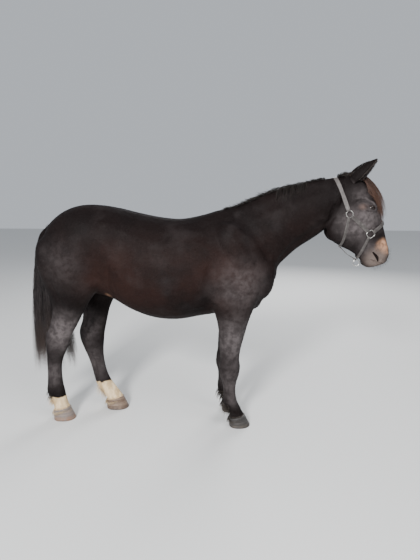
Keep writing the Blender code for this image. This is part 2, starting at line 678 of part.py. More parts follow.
def parted(body):
    """The named pieces of the flesh, cut from the fused body."""
    half = GAP / 2
    head = faceted(chunk(body, "head", flipped(HEAD_CUT), 0.03), HEAD_TRIANGLES)
    boolean(head, half_spaces("block", [moved_plane(flipped(HEAD_CUT), -half)]), "INTERSECT")
    faceted(body, BODY_TRIANGLES)
    neck = boolean(
        copied(body, "neck"),
        half_spaces("block", [moved_plane(HEAD_CUT, -half), moved_plane(flipped(NECK_CUT), -half)]),
        "INTERSECT")
    torso = boolean(
        copied(body, "torso"), half_spaces("block", [moved_plane(NECK_CUT, -half)]), "INTERSECT")
    nodes = {"head": head, "neck": neck}
    for name, (planes, cut, stations) in region_planes().items():
        inner = [moved_plane(p, -half) for p in planes]
        outer = [moved_plane(p, half) for p in planes]
        upper = name.replace("_", "leg_")
        lower = name.replace("_", "_cannon_")
        nodes[upper] = boolean(
            copied(body, upper), half_spaces("block", inner + [level(cut + half, False)]),
            "INTERSECT")
        coronet = moved_plane(flipped(coronet_plane(stations)), -half)
        nodes[lower] = boolean(
            copied(body, lower),
            half_spaces("block", inner + [level(cut - half, True), coronet]), "INTERSECT")
        boolean(torso, half_spaces("block", outer), "DIFFERENCE")
    nodes["torso"] = torso
    bpy.data.objects.remove(body, do_unlink=True)
    for obj in nodes.values():
        largest_surface(obj)
    return nodes


HOOF_TOE, HOOF_HEEL = 0.046, 0.004  # how far the wall spreads past the coronet, front and back
HOOF_SPREAD = 0.013
HOOF_LIP = 0.004  # the coronet's band outside the leg


def hoof(name, stations):
    """A hoof wall from the slanting coronet to a flat sole at z = 0."""
    s = stations[-2]
    top = s._replace(
        up_x=s.up_x + HOOF_LIP, low_x=s.low_x - HOOF_LIP, half=s.half + 0.006,
        widest=0.45, up_square=2.0, low_square=2.6)
    sole = top._replace(
        up_x=s.up_x + HOOF_TOE, low_x=s.low_x - HOOF_HEEL, up_z=0.0, low_z=0.0,
        half=s.half + HOOF_SPREAD + 0.006)
    rows = [tuple(np.array(top) + (np.array(sole) - np.array(top)) * t) for t in (0, 0.5, 1)]
    rings = [section(row, 20) for row in rows]
    obj = skinned(name, rings, HORN)
    drop = moved_plane(coronet_plane(stations), -GAP / 2)
    return boolean(obj, half_spaces("block", [drop]), "INTERSECT")


def eye_place(side):
    x, y, z = EYE
    return Vector((x, side * y, z))


def lid_opening(side):
    """An almond prism from the middle of the eye out through the skin."""
    middle = eye_place(side)
    long_way = Vector(EYE_LONG_WAY).normalized()
    out = Vector((EYE_OUT[0], side * EYE_OUT[1], EYE_OUT[2])).normalized()
    short_way = out.cross(long_way)
    rings = []
    for reach, flare in ((0.002, 1.0), (EYE_RADIUS, 1.0), (0.060, 1.25)):
        ring = []
        for k in range(16):
            turn = 2 * math.pi * k / 16
            high = math.copysign(abs(math.sin(turn)) ** 1.25, math.sin(turn))
            ring.append(tuple(
                middle + out * reach + long_way * (math.cos(turn) * LID_LENGTH / 2 * flare)
                + short_way * (high * LID_OPEN / 2 * flare)))
        rings.append(np.array(ring))
    return skinned("opening", rings)


def set_eyes(head):
    """Lids over each eyeball, their almond opening, and the eyeballs as nodes."""
    eyes = {}
    for side, word in ((-1, "right"), (1, "left")):
        place = eye_place(side)
        boolean(head, ball("lids", place, (EYE_RADIUS + LID_THICK,) * 3, detail=2), "UNION")
        boolean(head, ball("socket", place, (EYE_RADIUS + GAP,) * 3, detail=2), "DIFFERENCE")
        boolean(head, lid_opening(side), "DIFFERENCE")
        eyes["eye_" + word] = ball("eye_" + word, place, (EYE_RADIUS,) * 3, 0.0, EYE_SKIN, 2)
    return eyes


# The mouth's line from its corner to the front, and a nostril from its back notch downwards.
MOUTH = [(1.112, 1.181), (1.135, 1.172), (1.160, 1.164), (1.184, 1.158)]
MOUTH_FRONT = [(0.034, 1.154), (0.014, 1.152)]  # Y and Z across the front
MOUTH_MIDDLE = 1.130  # X of the axis that the mouth bends round
MOUTH_DEPTH, MOUTH_WIDE = 0.009, 0.0022
NOSTRIL = [(1.124, 1.226, 0.0035), (1.134, 1.216, 0.0055), (1.147, 1.202, 0.0080),
           (1.157, 1.186, 0.0080), (1.160, 1.171, 0.0045)]
NOSTRIL_DEPTH = 0.004


def cut_mouth_and_nostrils(head):
    tree = surface_tree([head])
    path = [tree.ray_cast(Vector((x, -1, z)), Vector((0, 1, 0)))[0] for x, z in MOUTH]
    path += [tree.ray_cast(Vector((2, -y, z)), Vector((-1, 0, 0)))[0] for y, z in MOUTH_FRONT]
    path += [mirror(p, -1) for p in path[::-1]]
    rings = []
    for i, p in enumerate(path):
        along = (path[min(i + 1, len(path) - 1)] - path[max(i - 1, 0)]).normalized()
        out = Vector((p.x - MOUTH_MIDDLE, p.y, 0)).normalized()
        across = along.cross(out).normalized() * MOUTH_WIDE
        depth = MOUTH_DEPTH * (0.4 if i in (0, len(path) - 1) else 1.0)
        rings.append(np.array([tuple(q) for q in (
            p - out * depth, p + out * MOUTH_DEPTH - across, p + out * MOUTH_DEPTH + across)]))
    boolean(head, skinned("mouth", rings), "DIFFERENCE")
    for side in (-1, 1):
        line = []
        for x, z, radius in NOSTRIL:
            p, n = tree.ray_cast(Vector((x, side, z)), Vector((0, -side, 0)))[:2]
            line.append((p - n * NOSTRIL_DEPTH, radius))
        boolean(head, tube("nostril", line), "DIFFERENCE")


def tube(name, line, sides=8):
    """A round rod through points of given radius."""
    rings = []
    for i, (p, radius) in enumerate(line):
        along = (line[min(i + 1, len(line) - 1)][0] - line[max(i - 1, 0)][0]).normalized()
        first = along.cross(Vector((0, 1, 0.1))).normalized()
        second = along.cross(first)
        rings.append(np.array([
            tuple(p + (first * math.cos(t) + second * math.sin(t)) * radius)
            for t in np.arange(sides) * 2 * math.pi / sides]))
    return skinned(name, rings)


EAR_LENGTH_ROWS = [
    # along the ear, half width, depth of the cup's outside
    (0.00, 0.029, 0.040),
    (0.20, 0.034, 0.045),
    (0.42, 0.034, 0.042),
    (0.64, 0.028, 0.032),
    (0.84, 0.016, 0.018),
    (1.00, 0.003, 0.004),
]
EAR_WALL = 0.0045
EAR_ARC = 118.0  # degrees each way that the cup wraps round


def ear(name, side):
    """A cupped ear: crescent sections from the base to the tip, open to the front."""
    base = Vector((EAR_BASE[0], side * EAR_BASE[1], EAR_BASE[2]))
    tip = Vector((EAR_TIP[0], side * EAR_TIP[1], EAR_TIP[2]))
    along = (tip - base).normalized()
    open_way = Vector((0.75, side * 0.45, -0.45))
    open_way = (open_way - along * open_way.dot(along)).normalized()
    across = along.cross(open_way)
    rings = []
    for t, half, depth in through(EAR_LENGTH_ROWS, 2):
        middle = base + (tip - base) * t
        wall = min(EAR_WALL, half * 0.6)
        outer, inner = [], []
        for k in range(9):
            turn = math.radians(EAR_ARC) * (k - 4) / 4
            out = across * math.sin(turn) * half - open_way * math.cos(turn) * depth
            outer.append(middle + out)
            inner.append(middle + out * max(0.25, 1 - wall / max(half, depth))
                         + open_way * 0.0006)
        rings.append(np.array([tuple(p) for p in outer + inner[::-1]]))
    middle = rings[0].mean(0)
    sunk = np.array((-0.012, -side * 0.026, -0.040))
    low = middle + (rings[0] - middle) * 0.55 + sunk
    return skinned(name, [low] + rings, COAT)


LOCK_ROOT = 0.45  # a lock's width at its root, as a share of its greatest


def lock(path, faces, width, thick, kind=HAIR):
    """A flat lock along a path, widest near its middle and tapered to a point."""
    last = len(path) - 1
    points, sides = [], []
    for i, p in enumerate(path[:-1]):
        along = (path[i + 1] - path[max(i - 1, 0)]).normalized()
        side = along.cross(faces[i]).normalized()
        out = side.cross(along)
        share = i / last
        size = (LOCK_ROOT + (1 - LOCK_ROOT) * math.sin(math.pi * share)) * (1 - share**2.4)
        half, deep = side * (width / 2 * size), out * (thick / 2 * size)
        points += [p - half, p + deep, p + half, p - deep]
        if i:
            for k in range(4):
                a, b = 4 * i + k, 4 * i + (k + 1) % 4
                sides.append((a - 4, b - 4, b, a))
    points.append(path[-1])
    tip = len(points) - 1
    sides += [(tip - 4 + k, tip - 4 + (k + 1) % 4, tip) for k in range(4)]
    sides.append((3, 2, 1, 0))
    return mesh_object("lock", points, sides, kind)


def draped(tree, start, first_way, length, clearance, pull, bend, steps):
    """A path that leaves the flesh, bends towards pull and then stays off the surface."""
    way, pull = Vector(first_way).normalized(), Vector(pull).normalized()
    path = [Vector(start)]
    for i in range(DRAPE_STEPS):
        way = way.lerp(pull, bend).normalized()
        p = path[-1] + way * (length / DRAPE_STEPS)
        if i >= STEPS_IN_FLESH:
            p = kept_off(tree, p, clearance)
            way = (p - path[-1]).normalized()
        path.append(p)
    path = [path[round(i)] for i in np.linspace(0, DRAPE_STEPS, steps + 1)]
    return path, [tree.find_nearest(p)[1] for p in path]


def kept_off(tree, point, clearance):
    """The point moved out to at least the clearance from the surface."""
    hit, normal = tree.find_nearest(point)[:2]
    out = (point - hit).dot(normal)
    return point + normal * max(0.0, clearance - out)


def fuse(obj, pieces):
    """One union of a node with the pieces that grow from it."""
    group = bpy.data.collections.new("growing")
    for piece in pieces:
        group.objects.link(piece)
    step = obj.modifiers.new("fuse", "BOOLEAN")
    step.operation = "UNION"
    step.solver = "MANIFOLD"
    step.operand_type = "COLLECTION"
    step.collection = group
    settle(obj)
    for piece in list(group.objects):
        bpy.data.objects.remove(piece, do_unlink=True)
    bpy.data.collections.remove(group)
    return largest_surface(obj)


DRAPE_STEPS, STEPS_IN_FLESH = 18, 3
MANE_LOCKS, MANE_FROM, MANE_TO = 36, 0.165, 0.790  # along X on the crest
MANE_WIDTH, MANE_THICK, MANE_SUNK = 0.030, 0.0075, 0.012
MANE_LONG, MANE_SHORT, MANE_FUZZ = 0.165, 0.105, 0.052
FORELOCK_LOCKS = 8
FORELOCK_WIDTH, FORELOCK_THICK = 0.028, 0.0090
FORELOCK_CLEAR = 0.007
FORELOCK_SPREAD, FORELOCK_FAN = 0.010, 9.0  # across the root, and how far it opens below
FEATHER_LOCKS, FEATHER_WIDTH, FEATHER_THICK = 6, 0.026, 0.0080
TAIL_LOCKS, TAIL_WIDTH, TAIL_THICK = 34, 0.036, 0.0110
TAIL_CLEAR = 0.016  # between a lock's middle and the flesh
FEATHER_END = 0.045  # the height at which its lowest tips stop
TAIL_SEED, MANE_SEED, FORELOCK_SEED, FEATHER_SEED = 4, 9, 12, 16


def mane(tree):
    """Short locks along the crest: most fall to the left, some to the right."""
    rng = np.random.default_rng(MANE_SEED)
    made = []
    for k in range(MANE_LOCKS):
        share = k / (MANE_LOCKS - 1)
        side = -1 if k % 3 == 1 else 1
        x = MANE_FROM + (MANE_TO - MANE_FROM) * share + rng.uniform(-0.004, 0.004)
        root = tree.ray_cast(Vector((x, side * 0.004, 2.0)), Vector((0, 0, -1)))[0]
        fullness = 0.45 + 0.55 * math.sin(math.pi * min(1.0, share * 1.15)) ** 0.6
        if side > 0:
            length = MANE_LONG * fullness * rng.uniform(0.8, 1.1)
            pull, bend = (-0.20, 0.25, -1.0), 0.17
        elif 0.50 < x < 0.70:
            length = MANE_SHORT * rng.uniform(0.8, 1.15)
            pull, bend = (-0.15, -0.30, -1.0), 0.22
        else:
            length = MANE_FUZZ * rng.uniform(0.8, 1.2)
            pull, bend = (-0.60, -0.5, 0.1), 0.10
        start = root - Vector((0, 0, MANE_SUNK))
        first = (rng.uniform(-0.45, -0.05), side * rng.uniform(0.15, 0.35), 1.0)
        steps = 5 if length > 0.10 else 3
        path, faces = draped(tree, start, first, length + MANE_SUNK, rng.uniform(0.006, 0.012),
                             pull, bend, steps)
        faces[:2] = [Vector((0, side, 0.6)).normalized()] * 2
        made.append(lock(path, faces, MANE_WIDTH * rng.uniform(0.85, 1.15), MANE_THICK))
    return made


# The forelock's outermost line, X and Z, from its root behind the ears down over the face.
FORELOCK_LINE = [(0.938, 1.700), (0.962, 1.738), (1.020, 1.735), (1.078, 1.700), (1.130, 1.645),
                 (1.168, 1.585), (1.193, 1.520), (1.203, 1.462)]


def forelock(tree):
    """Locks that rise from the poll between the ears and fall over the face."""
    rng = np.random.default_rng(FORELOCK_SEED)
    line = through(FORELOCK_LINE, 4)
    made = []
    for k in range(FORELOCK_LOCKS):
        y = (k / (FORELOCK_LOCKS - 1) - 0.5) * FORELOCK_SPREAD
        end = rng.uniform(0.68, 1.0)
        depth = 0.005 * (k % 3) + rng.uniform(0.0, 0.003)
        path = []
        for t in np.linspace(0, end, 7):
            x, z = line[round(t * (len(line) - 1))]
            wide = y * (1 + FORELOCK_FAN * t * t) + rng.uniform(-0.001, 0.001)
            p = Vector((x - depth * t, wide, z - depth * min(1, 3 * t)))
            path.append(kept_off(tree, p, FORELOCK_CLEAR) if t > 0.2 else p)
        runs = [b - a for a, b in zip(path, path[1:])]
        faces = [Vector((-run.z, 0, run.x)) for run in runs]
        made.append(lock(path, faces, FORELOCK_WIDTH * rng.uniform(0.85, 1.2), FORELOCK_THICK))
    return made


def feather(tree, stations):
    """The tuft that hangs behind a fetlock."""
    rng = np.random.default_rng(FEATHER_SEED)
    s = stations[-4]
    made = []
    for k in range(FEATHER_LOCKS):
        turn = math.radians(64) * (2 * k / (FEATHER_LOCKS - 1) - 1)
        out = Vector((-math.cos(turn), math.sin(turn), 0))
        height = s.low_z + rng.uniform(-0.030, 0.006)
        middle = Vector(((s.low_x + s.up_x) / 2, s.y, height))
        root = tree.ray_cast(middle + out * 0.3, -out)[0]
        path, faces = draped(tree, root - out * 0.010, out * 0.9 + Vector((0, 0, -1)),
                             height - FEATHER_END * rng.uniform(0.9, 1.3), 0.0070,
                             out * 0.12 + Vector((0, 0, -1)), 0.10, 4)
        made.append(lock(path, faces, FEATHER_WIDTH * rng.uniform(0.85, 1.15), FEATHER_THICK))
    return made


# The tail's core runs from the dock to less than half way to the tips.
TAIL_CORE = [
    Station(-1.085, 1.395, -1.050, 1.345, 0.030),
    Station(-1.148, 1.330, -1.108, 1.290, 0.031),
    Station(-1.182, 1.220, -1.132, 1.205, 0.030),
    Station(-1.192, 1.080, -1.146, 1.080, 0.026),
    Station(-1.198, 0.960, -1.158, 0.960, 0.018),
    Station(-1.200, 0.900, -1.176, 0.900, 0.008),
]
TAIL_BACK, TAIL_FRONT = -1.240, -0.985  # where the outermost tips hang
TAIL_LOW, TAIL_HIGH = 0.325, 0.560


def tail_locks(tree):
    """Long locks round the core: the hindmost hang straight, the rest sweep forward."""
    rng = np.random.default_rng(TAIL_SEED)
    core = through(TAIL_CORE, 6)
    made = []
    for k in range(TAIL_LOCKS):
        share = (k + 0.5) / TAIL_LOCKS
        row = Station(*core[int((0.10 + 0.72 * rng.uniform() ** 0.8) * (len(core) - 1))])
        turn = 2 * math.pi * share * 7 % (2 * math.pi)
        middle = Vector(((row.up_x + row.low_x) / 2, 0, (row.up_z + row.low_z) / 2))
        deep = abs(row.up_x - row.low_x) / 2
        out = Vector((-math.cos(turn) * deep, math.sin(turn) * row.half, 0))
        start = middle + out * 0.3
        sweep = rng.uniform() ** 1.5
        tip = Vector((TAIL_BACK + (TAIL_FRONT - TAIL_BACK) * sweep,
                      rng.uniform(-0.034, 0.034) + (0.006 if sweep > 0.4 else 0.0),
                      TAIL_LOW + (TAIL_HIGH - TAIL_LOW) * rng.uniform() * (0.45 + 0.55 * sweep)))
        drop = start.z - tip.z
        second = start + out.normalized() * 0.022 + Vector((-0.018, 0, -0.18 * drop))
        third = Vector((min(tip.x, -1.215 + 0.10 * sweep), tip.y * 1.15, tip.z + 0.42 * drop))
        path = []
        for t in np.linspace(0, 1, 7):
            p = (start * (1 - t) ** 3 + second * (3 * t * (1 - t) ** 2)
                 + third * (3 * t * t * (1 - t)) + tip * t**3)
            path.append(kept_off(tree, p, TAIL_CLEAR) if t > 0.1 else p)
        face = Vector((out.x * 0.4, out.y, 0)).normalized() if abs(out.y) > 0.2 * deep else (
            Vector((-1, 0.3, 0)).normalized())
        made.append(lock(path, [face] * len(path), TAIL_WIDTH * rng.uniform(0.8, 1.15),
                         TAIL_THICK))
    return made


# The headcollar, on the left side: rings, and straps from ring to ring.
ROUND_RING = (0.948, 0.100, 1.478)
SQUARE_RING = (1.093, 0.080, 1.348)
THROAT_LOW, CHIN_LOW = (0.914, 0.0, 1.264), (1.028, 0.0, 1.176)  # slack under the jaw
THIN_STRAP = 0.018
STRAP_WIDTH, STRAP_THICK, STRAP_PAD, STRAP_LIFT = 0.025, 0.0034, 0.0100, 0.0028
RING_RADIUS, RING_BAR = 0.021, 0.0026
SQUARE_HALF, SQUARE_CORNER = 0.022, 0.005
ROUND_SIDES = 18
RING_OFF = 0.0050  # from the flesh to the middle of a ring's bar
CROWN_TOP, NOSE_TOP = (0.858, 0.0, 1.720), (1.195, 0.0, 1.425)
NOSE_WAY, CHIN_WAY = (0.80, 0, 0.60), (-0.45, 0, -0.89)  # from the square ring along each strap
THROAT_WAY = (-0.17, 0, -0.985)
RAYS, RAY_REACH = 48, 0.45  # the rays that feel for the flesh under a strap
FOLD_AHEAD, FOLD_BACK = 0.010, 0.006  # how far a strap's doubled end runs each way


def surface_tree(objects):
    points, faces = [], []
    for obj in objects:
        base = len(points)
        points += [v.co.copy() for v in obj.data.vertices]
        faces += [[base + i for i in p.vertices] for p in obj.data.polygons]
    return BVHTree.FromPolygons(points, faces)


def mirror(point, side):
    return Vector((point[0], side * point[1], point[2]))


def hull_between(points):
    """The taut line over points given in order, in the plane seen from the origin."""
    kept = []
    for p in points:
        while len(kept) > 1:
            a, b = kept[-2], kept[-1]
            if (b[0] - a[0]) * (p[1] - a[1]) - (b[1] - a[1]) * (p[0] - a[0]) > 0:
                break
            kept.pop()
        kept.append(p)
    return kept


def strap(name, tree, start, end, over, inside, width=STRAP_WIDTH, pads=(True, True), steps=14):
    """A band pulled taut over the flesh from start to end, by way of the point over."""
    start, end, over, inside = (Vector(p) for p in (start, end, over, inside))
    first = (start - inside).normalized()
    lay = (over - inside) - first * (over - inside).dot(first)
    second = lay.normalized()
    flat = [((p - inside).dot(first), (p - inside).dot(second)) for p in (start, end)]
    last = math.atan2(flat[1][1], flat[1][0]) % (2 * math.pi)
    by_way = math.atan2((over - inside).dot(second), (over - inside).dot(first))
    slack = round(RAYS * by_way / last)
    seen = []
    for k in range(RAYS + 1):
        turn = last * k / RAYS
        way = first * math.cos(turn) + second * math.sin(turn)
        hit = tree.ray_cast(inside + way * RAY_REACH, -way, RAY_REACH)[0]
        reach = (hit - inside).length + STRAP_LIFT + STRAP_THICK / 2 if hit else 0.02
        for place, point in ((0, start), (slack, over), (RAYS, end)):
            if k == place:
                reach = max(reach, (point - inside).length)
        seen.append((math.cos(turn) * reach, math.sin(turn) * reach))
    line = [inside + first * x + second * y for x, y in hull_between(seen)]
    lengths = np.cumsum([0] + [(b - a).length for a, b in zip(line, line[1:])])
    wanted = np.linspace(0, lengths[-1], steps + 1)
    flat_line = np.array([tuple(p) for p in line])
    path = np.stack([np.interp(wanted, lengths, flat_line[:, i]) for i in range(3)], 1)
    for _ in range(2):
        path[1:-1] = path[1:-1] / 2 + (path[:-2] + path[2:]) / 4
    path = [Vector(p) for p in path]
    ups = [tree.find_nearest(p)[1] for p in path]
    for _ in range(4):
        ups = [(ups[max(i - 1, 0)] + ups[i] + ups[min(i + 1, steps)]).normalized()
               for i in range(steps + 1)]
    rings = []
    for i, p in enumerate(path):
        along = (path[min(i + 1, steps)] - path[max(i - 1, 0)]).normalized()
        side_way = along.cross(ups[i]).normalized()
        up = side_way.cross(along).normalized()
        padded = (pads[0] and i == 0) or (pads[1] and i == steps)
        half_w, half_t = side_way * width / 2, up * (STRAP_PAD if padded else STRAP_THICK) / 2
        rings.append(np.array([tuple(q) for q in (
            p - half_w - half_t, p + half_w - half_t, p + half_w + half_t, p - half_w + half_t)]))
    if pads[0]:
        run = np.array(tuple((path[1] - path[0]).normalized()))
        rings.insert(1, rings[0] + run * FOLD_AHEAD)
        rings[0] = rings[0] - run * FOLD_BACK
    if pads[1]:
        run = np.array(tuple((path[-1] - path[-2]).normalized()))
        rings.insert(-1, rings[-1] - run * FOLD_AHEAD)
        rings[-1] = rings[-1] + run * FOLD_BACK
    return skinned(name, rings, LEATHER)


def wire_loop(name, line, radius, sides=5):
    """A closed bar of round section along the given points."""
    count = len(line)
    middle = sum(line, Vector()) / count
    normal = Vector()
    for a, b in zip(line, line[1:] + line[:1]):
        normal += (a - middle).cross(b - middle)
    normal.normalize()
    points, faces = [], []
    for i, p in enumerate(line):
        along = (line[(i + 1) % count] - line[i - 1]).normalized()
        out = along.cross(normal).normalized()
        for k in range(sides):
            turn = 2 * math.pi * (k + 0.5) / sides
            points.append(p + out * math.cos(turn) * radius + normal * math.sin(turn) * radius)
    for i in range(count):
        for k in range(sides):
            a, b = i * sides + k, i * sides + (k + 1) % sides
            c, d = (i + 1) % count * sides + (k + 1) % sides, (i + 1) % count * sides + k
            faces.append((a, b, c, d))
    return mesh_object(name, points, faces, STEEL)


def seat(tree, point, lift):
    """The nearest place on the flesh, lifted off it, and the way out of it."""
    hit, normal = tree.find_nearest(Vector(point))[:2]
    return hit + normal * lift, normal


def ring_line(middle, normal, shape, along):
    """Points of a round or a square ring that lies across normal."""
    first = (along - normal * along.dot(normal)).normalized()
    second = normal.cross(first)
    line = []
    if shape == "round":
        for k in range(ROUND_SIDES):
            turn = 2 * math.pi * k / ROUND_SIDES
            line.append(middle + (first * math.cos(turn) + second * math.sin(turn)) * RING_RADIUS)
        return line
    straight = SQUARE_HALF - SQUARE_CORNER
    for k in range(12):
        quarter, step = divmod(k, 3)
        turn = math.pi / 2 * (quarter + step / 2)
        x = straight * (1 if quarter in (0, 3) else -1) + SQUARE_CORNER * math.cos(turn)
        y = straight * (1 if quarter in (0, 1) else -1) + SQUARE_CORNER * math.sin(turn)
        line.append(middle + first * x + second * y)
    return line


def headcollar(head, neck):
    """Straps and rings, each a node."""
    tree = surface_tree([head, neck])
    made, rings = {}, {}
    places = {}
    for side, word in ((-1, "right"), (1, "left")):
        middle, normal = seat(tree, mirror(ROUND_RING, side), RING_OFF)
        places["round_" + word] = middle
        rings["ring_cheek_" + word] = wire_loop(
            "ring_cheek_" + word, ring_line(middle, normal, "round", Vector((1, 0, -1))), RING_BAR)
        middle, normal = seat(tree, mirror(SQUARE_RING, side), RING_OFF)
        places["square_" + word] = middle
        rings["ring_nose_" + word] = wire_loop(
            "ring_nose_" + word, ring_line(middle, normal, "square", Vector(NOSE_WAY)), RING_BAR)
    right, left = places["round_right"], places["round_left"]
    crown_top = Vector(CROWN_TOP)
    up_way = (crown_top - right).normalized()
    crown_from = right + Vector((up_way.x, 0, up_way.z)).normalized() * RING_RADIUS
    crown_to = Vector((crown_from.x, -crown_from.y, crown_from.z))
    made["strap_crown"] = strap(
        "strap_crown", tree, crown_from, crown_to, crown_top,
        Vector((crown_from.x - 0.012, 0, crown_from.z + 0.04)), steps=18)
    throat_from = right + Vector(THROAT_WAY) * RING_RADIUS
    throat_to = Vector((throat_from.x, -throat_from.y, throat_from.z))
    made["strap_throat"] = strap(
        "strap_throat", tree, throat_from, throat_to, THROAT_LOW,
        Vector((throat_from.x - 0.005, 0, throat_from.z - 0.03)), THIN_STRAP, steps=18)
    for side, word in ((-1, "right"), (1, "left")):
        a, b = places["round_" + word], places["square_" + word]
        way = (b - a).normalized()
        start, end = a + way * RING_RADIUS, b - way * SQUARE_HALF
        middle, normal = seat(tree, (start + end) / 2, 0.003)
        made["strap_cheek_" + word] = strap(
            "strap_cheek_" + word, tree, start, end, middle, middle - normal * 0.25, steps=7)
    right, left = places["square_right"], places["square_left"]
    nose_from = right + Vector(NOSE_WAY) * SQUARE_HALF
    nose_to = Vector((nose_from.x, -nose_from.y, nose_from.z))
    made["strap_nose"] = strap(
        "strap_nose", tree, nose_from, nose_to, NOSE_TOP,
        Vector((nose_from.x - 0.005, 0, nose_from.z - 0.004)), steps=14)
    chin_from = right + Vector(CHIN_WAY) * SQUARE_HALF
    chin_to = Vector((chin_from.x, -chin_from.y, chin_from.z))
    made["strap_chin"] = strap(
        "strap_chin", tree, chin_from, chin_to, CHIN_LOW,
        Vector((chin_from.x - 0.002, 0, chin_from.z + 0.004)), THIN_STRAP, steps=14)
    throat_low = Vector(THROAT_LOW) + Vector((0.006, 0, -0.004))
    chin_low = Vector(CHIN_LOW) + Vector((-0.006, 0, -0.002))
    middle = (throat_low + chin_low) / 2
    out = Vector((chin_low.z - throat_low.z, 0, throat_low.x - chin_low.x)).normalized()
    made["strap_jaw"] = strap(
        "strap_jaw", tree, throat_low, chin_low, middle + out * 0.010, middle - out * 0.15,
        THIN_STRAP, (False, False), 8)
    drop = Vector(CHIN_LOW) + Vector((0.004, 0, -0.004 - RING_RADIUS))
    rings["ring_chin"] = wire_loop(
        "ring_chin", ring_line(drop, Vector((0, 1, 0)), "round", Vector((0, 0, 1))), RING_BAR)
    for near in ("strap_throat", "strap_chin"):
        boolean(made["strap_jaw"], grown(made[near], "clear", GAP), "DIFFERENCE")
    for word in ("right", "left"):
        boolean(made["strap_throat"], grown(made["strap_cheek_" + word], "clear", GAP),
                "DIFFERENCE")
    for obj in made.values():
        for body in (head, neck):
            boolean(obj, grown(body, "clear", GAP), "DIFFERENCE")
        for ring in rings.values():
            boolean(obj, grown(ring, "clear", GAP), "DIFFERENCE")
        largest_surface(obj)
    made.update(rings)
    return made


def centre_on_origin():
    """Moves every node so that the model stands over the origin."""
    nodes = [obj for obj in bpy.data.objects if obj.type == "MESH"]
    points = np.array([tuple(v.co) for obj in nodes for v in obj.data.vertices])
    low, high = points.min(0), points.max(0)
    shift = Matrix.Translation((-(low[0] + high[0]) / 2, -(low[1] + high[1]) / 2, -low[2]))
    for obj in nodes:
        obj.data.transform(shift)


def main():
    clear_scene()
    nodes = parted(flesh(VOXEL))
    nodes.update(set_eyes(nodes["head"]))
    cut_mouth_and_nostrils(nodes["head"])
    for name, (stations, _) in legs().items():
        nodes["hoof_" + name] = hoof("hoof_" + name, stations)
    for side, word in ((-1, "right"), (1, "left")):
        part = ear("ear_" + word, side)
        boolean(part, grown(nodes["head"], "clear", GAP), "DIFFERENCE")
        nodes["ear_" + word] = largest_surface(part)
    skin = surface_tree([nodes["torso"], nodes["neck"], nodes["head"]])
    fuse(nodes["neck"], mane(skin))
    face = surface_tree([nodes["head"], nodes["ear_right"], nodes["ear_left"]])
    fuse(nodes["head"], forelock(face))
    for name, (stations, _) in legs().items():
        lower = nodes[name.replace("_", "_cannon_")]
        near = surface_tree([lower, nodes["hoof_" + name]])
        fuse(lower, feather(near, stations))
    tail = lofted("tail", TAIL_CORE, 0.01, 0.008, HAIR, sides=10, steps=1)
    rear = surface_tree([nodes[n] for n in nodes if n.startswith(("hind", "torso", "hoof_hind"))])
    fuse(tail, tail_locks(rear))
    boolean(tail, grown(nodes["torso"], "clear", GAP), "DIFFERENCE")
    nodes["tail"] = largest_surface(tail)
    headcollar(nodes["head"], nodes["neck"])
    centre_on_origin()


main()
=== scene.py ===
"""The looks of a standing draught horse of the Noriker kind in a worn leather headcollar.

Metres, +Z up, the head towards +X, the horse's right side towards -Y.
The skin is lofted and fused from the same stations as the solids, then given the fine forms of
the head. Short fur lies on it as small tufts, and mane, forelock, tail and feather are strands.
"""

import math
from collections import namedtuple

import bmesh
import bpy
import numpy as np
from mathutils import Matrix, Vector
from mathutils.bvhtree import BVHTree


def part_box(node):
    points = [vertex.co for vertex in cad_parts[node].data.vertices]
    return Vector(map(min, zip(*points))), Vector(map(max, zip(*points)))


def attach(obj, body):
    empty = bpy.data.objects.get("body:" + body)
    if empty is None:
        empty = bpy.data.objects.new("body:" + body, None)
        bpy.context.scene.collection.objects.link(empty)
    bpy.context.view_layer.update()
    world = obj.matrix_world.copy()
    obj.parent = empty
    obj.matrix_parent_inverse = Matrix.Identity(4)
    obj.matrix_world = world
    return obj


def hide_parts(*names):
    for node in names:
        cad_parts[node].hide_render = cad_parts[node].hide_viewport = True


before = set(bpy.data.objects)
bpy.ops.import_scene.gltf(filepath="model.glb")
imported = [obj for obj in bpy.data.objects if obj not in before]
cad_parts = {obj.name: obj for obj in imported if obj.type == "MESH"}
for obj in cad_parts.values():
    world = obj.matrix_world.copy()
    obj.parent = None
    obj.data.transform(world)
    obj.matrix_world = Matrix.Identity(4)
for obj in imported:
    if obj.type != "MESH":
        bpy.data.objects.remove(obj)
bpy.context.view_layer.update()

# The forms below are in the modelling frame, which the solids' frame shifts along X.
SIDES = ((-1, "right"), (1, "left"))
RING_SIDES = 28
STEPS_BETWEEN = 4  # rings between two stations
DOME_RINGS = 3  # rings of a loft's rounded end
SKIN_VOXEL = 0.006
SOFTENING = 0.036  # how far the forms melt into each other on the trunk
SOFT_LEVELS = 10
BODY_TRIANGLES, HEAD_TRIANGLES = 150000, 185000
COAT_DEPTH = 0.0015  # from the fur's outside to the skin

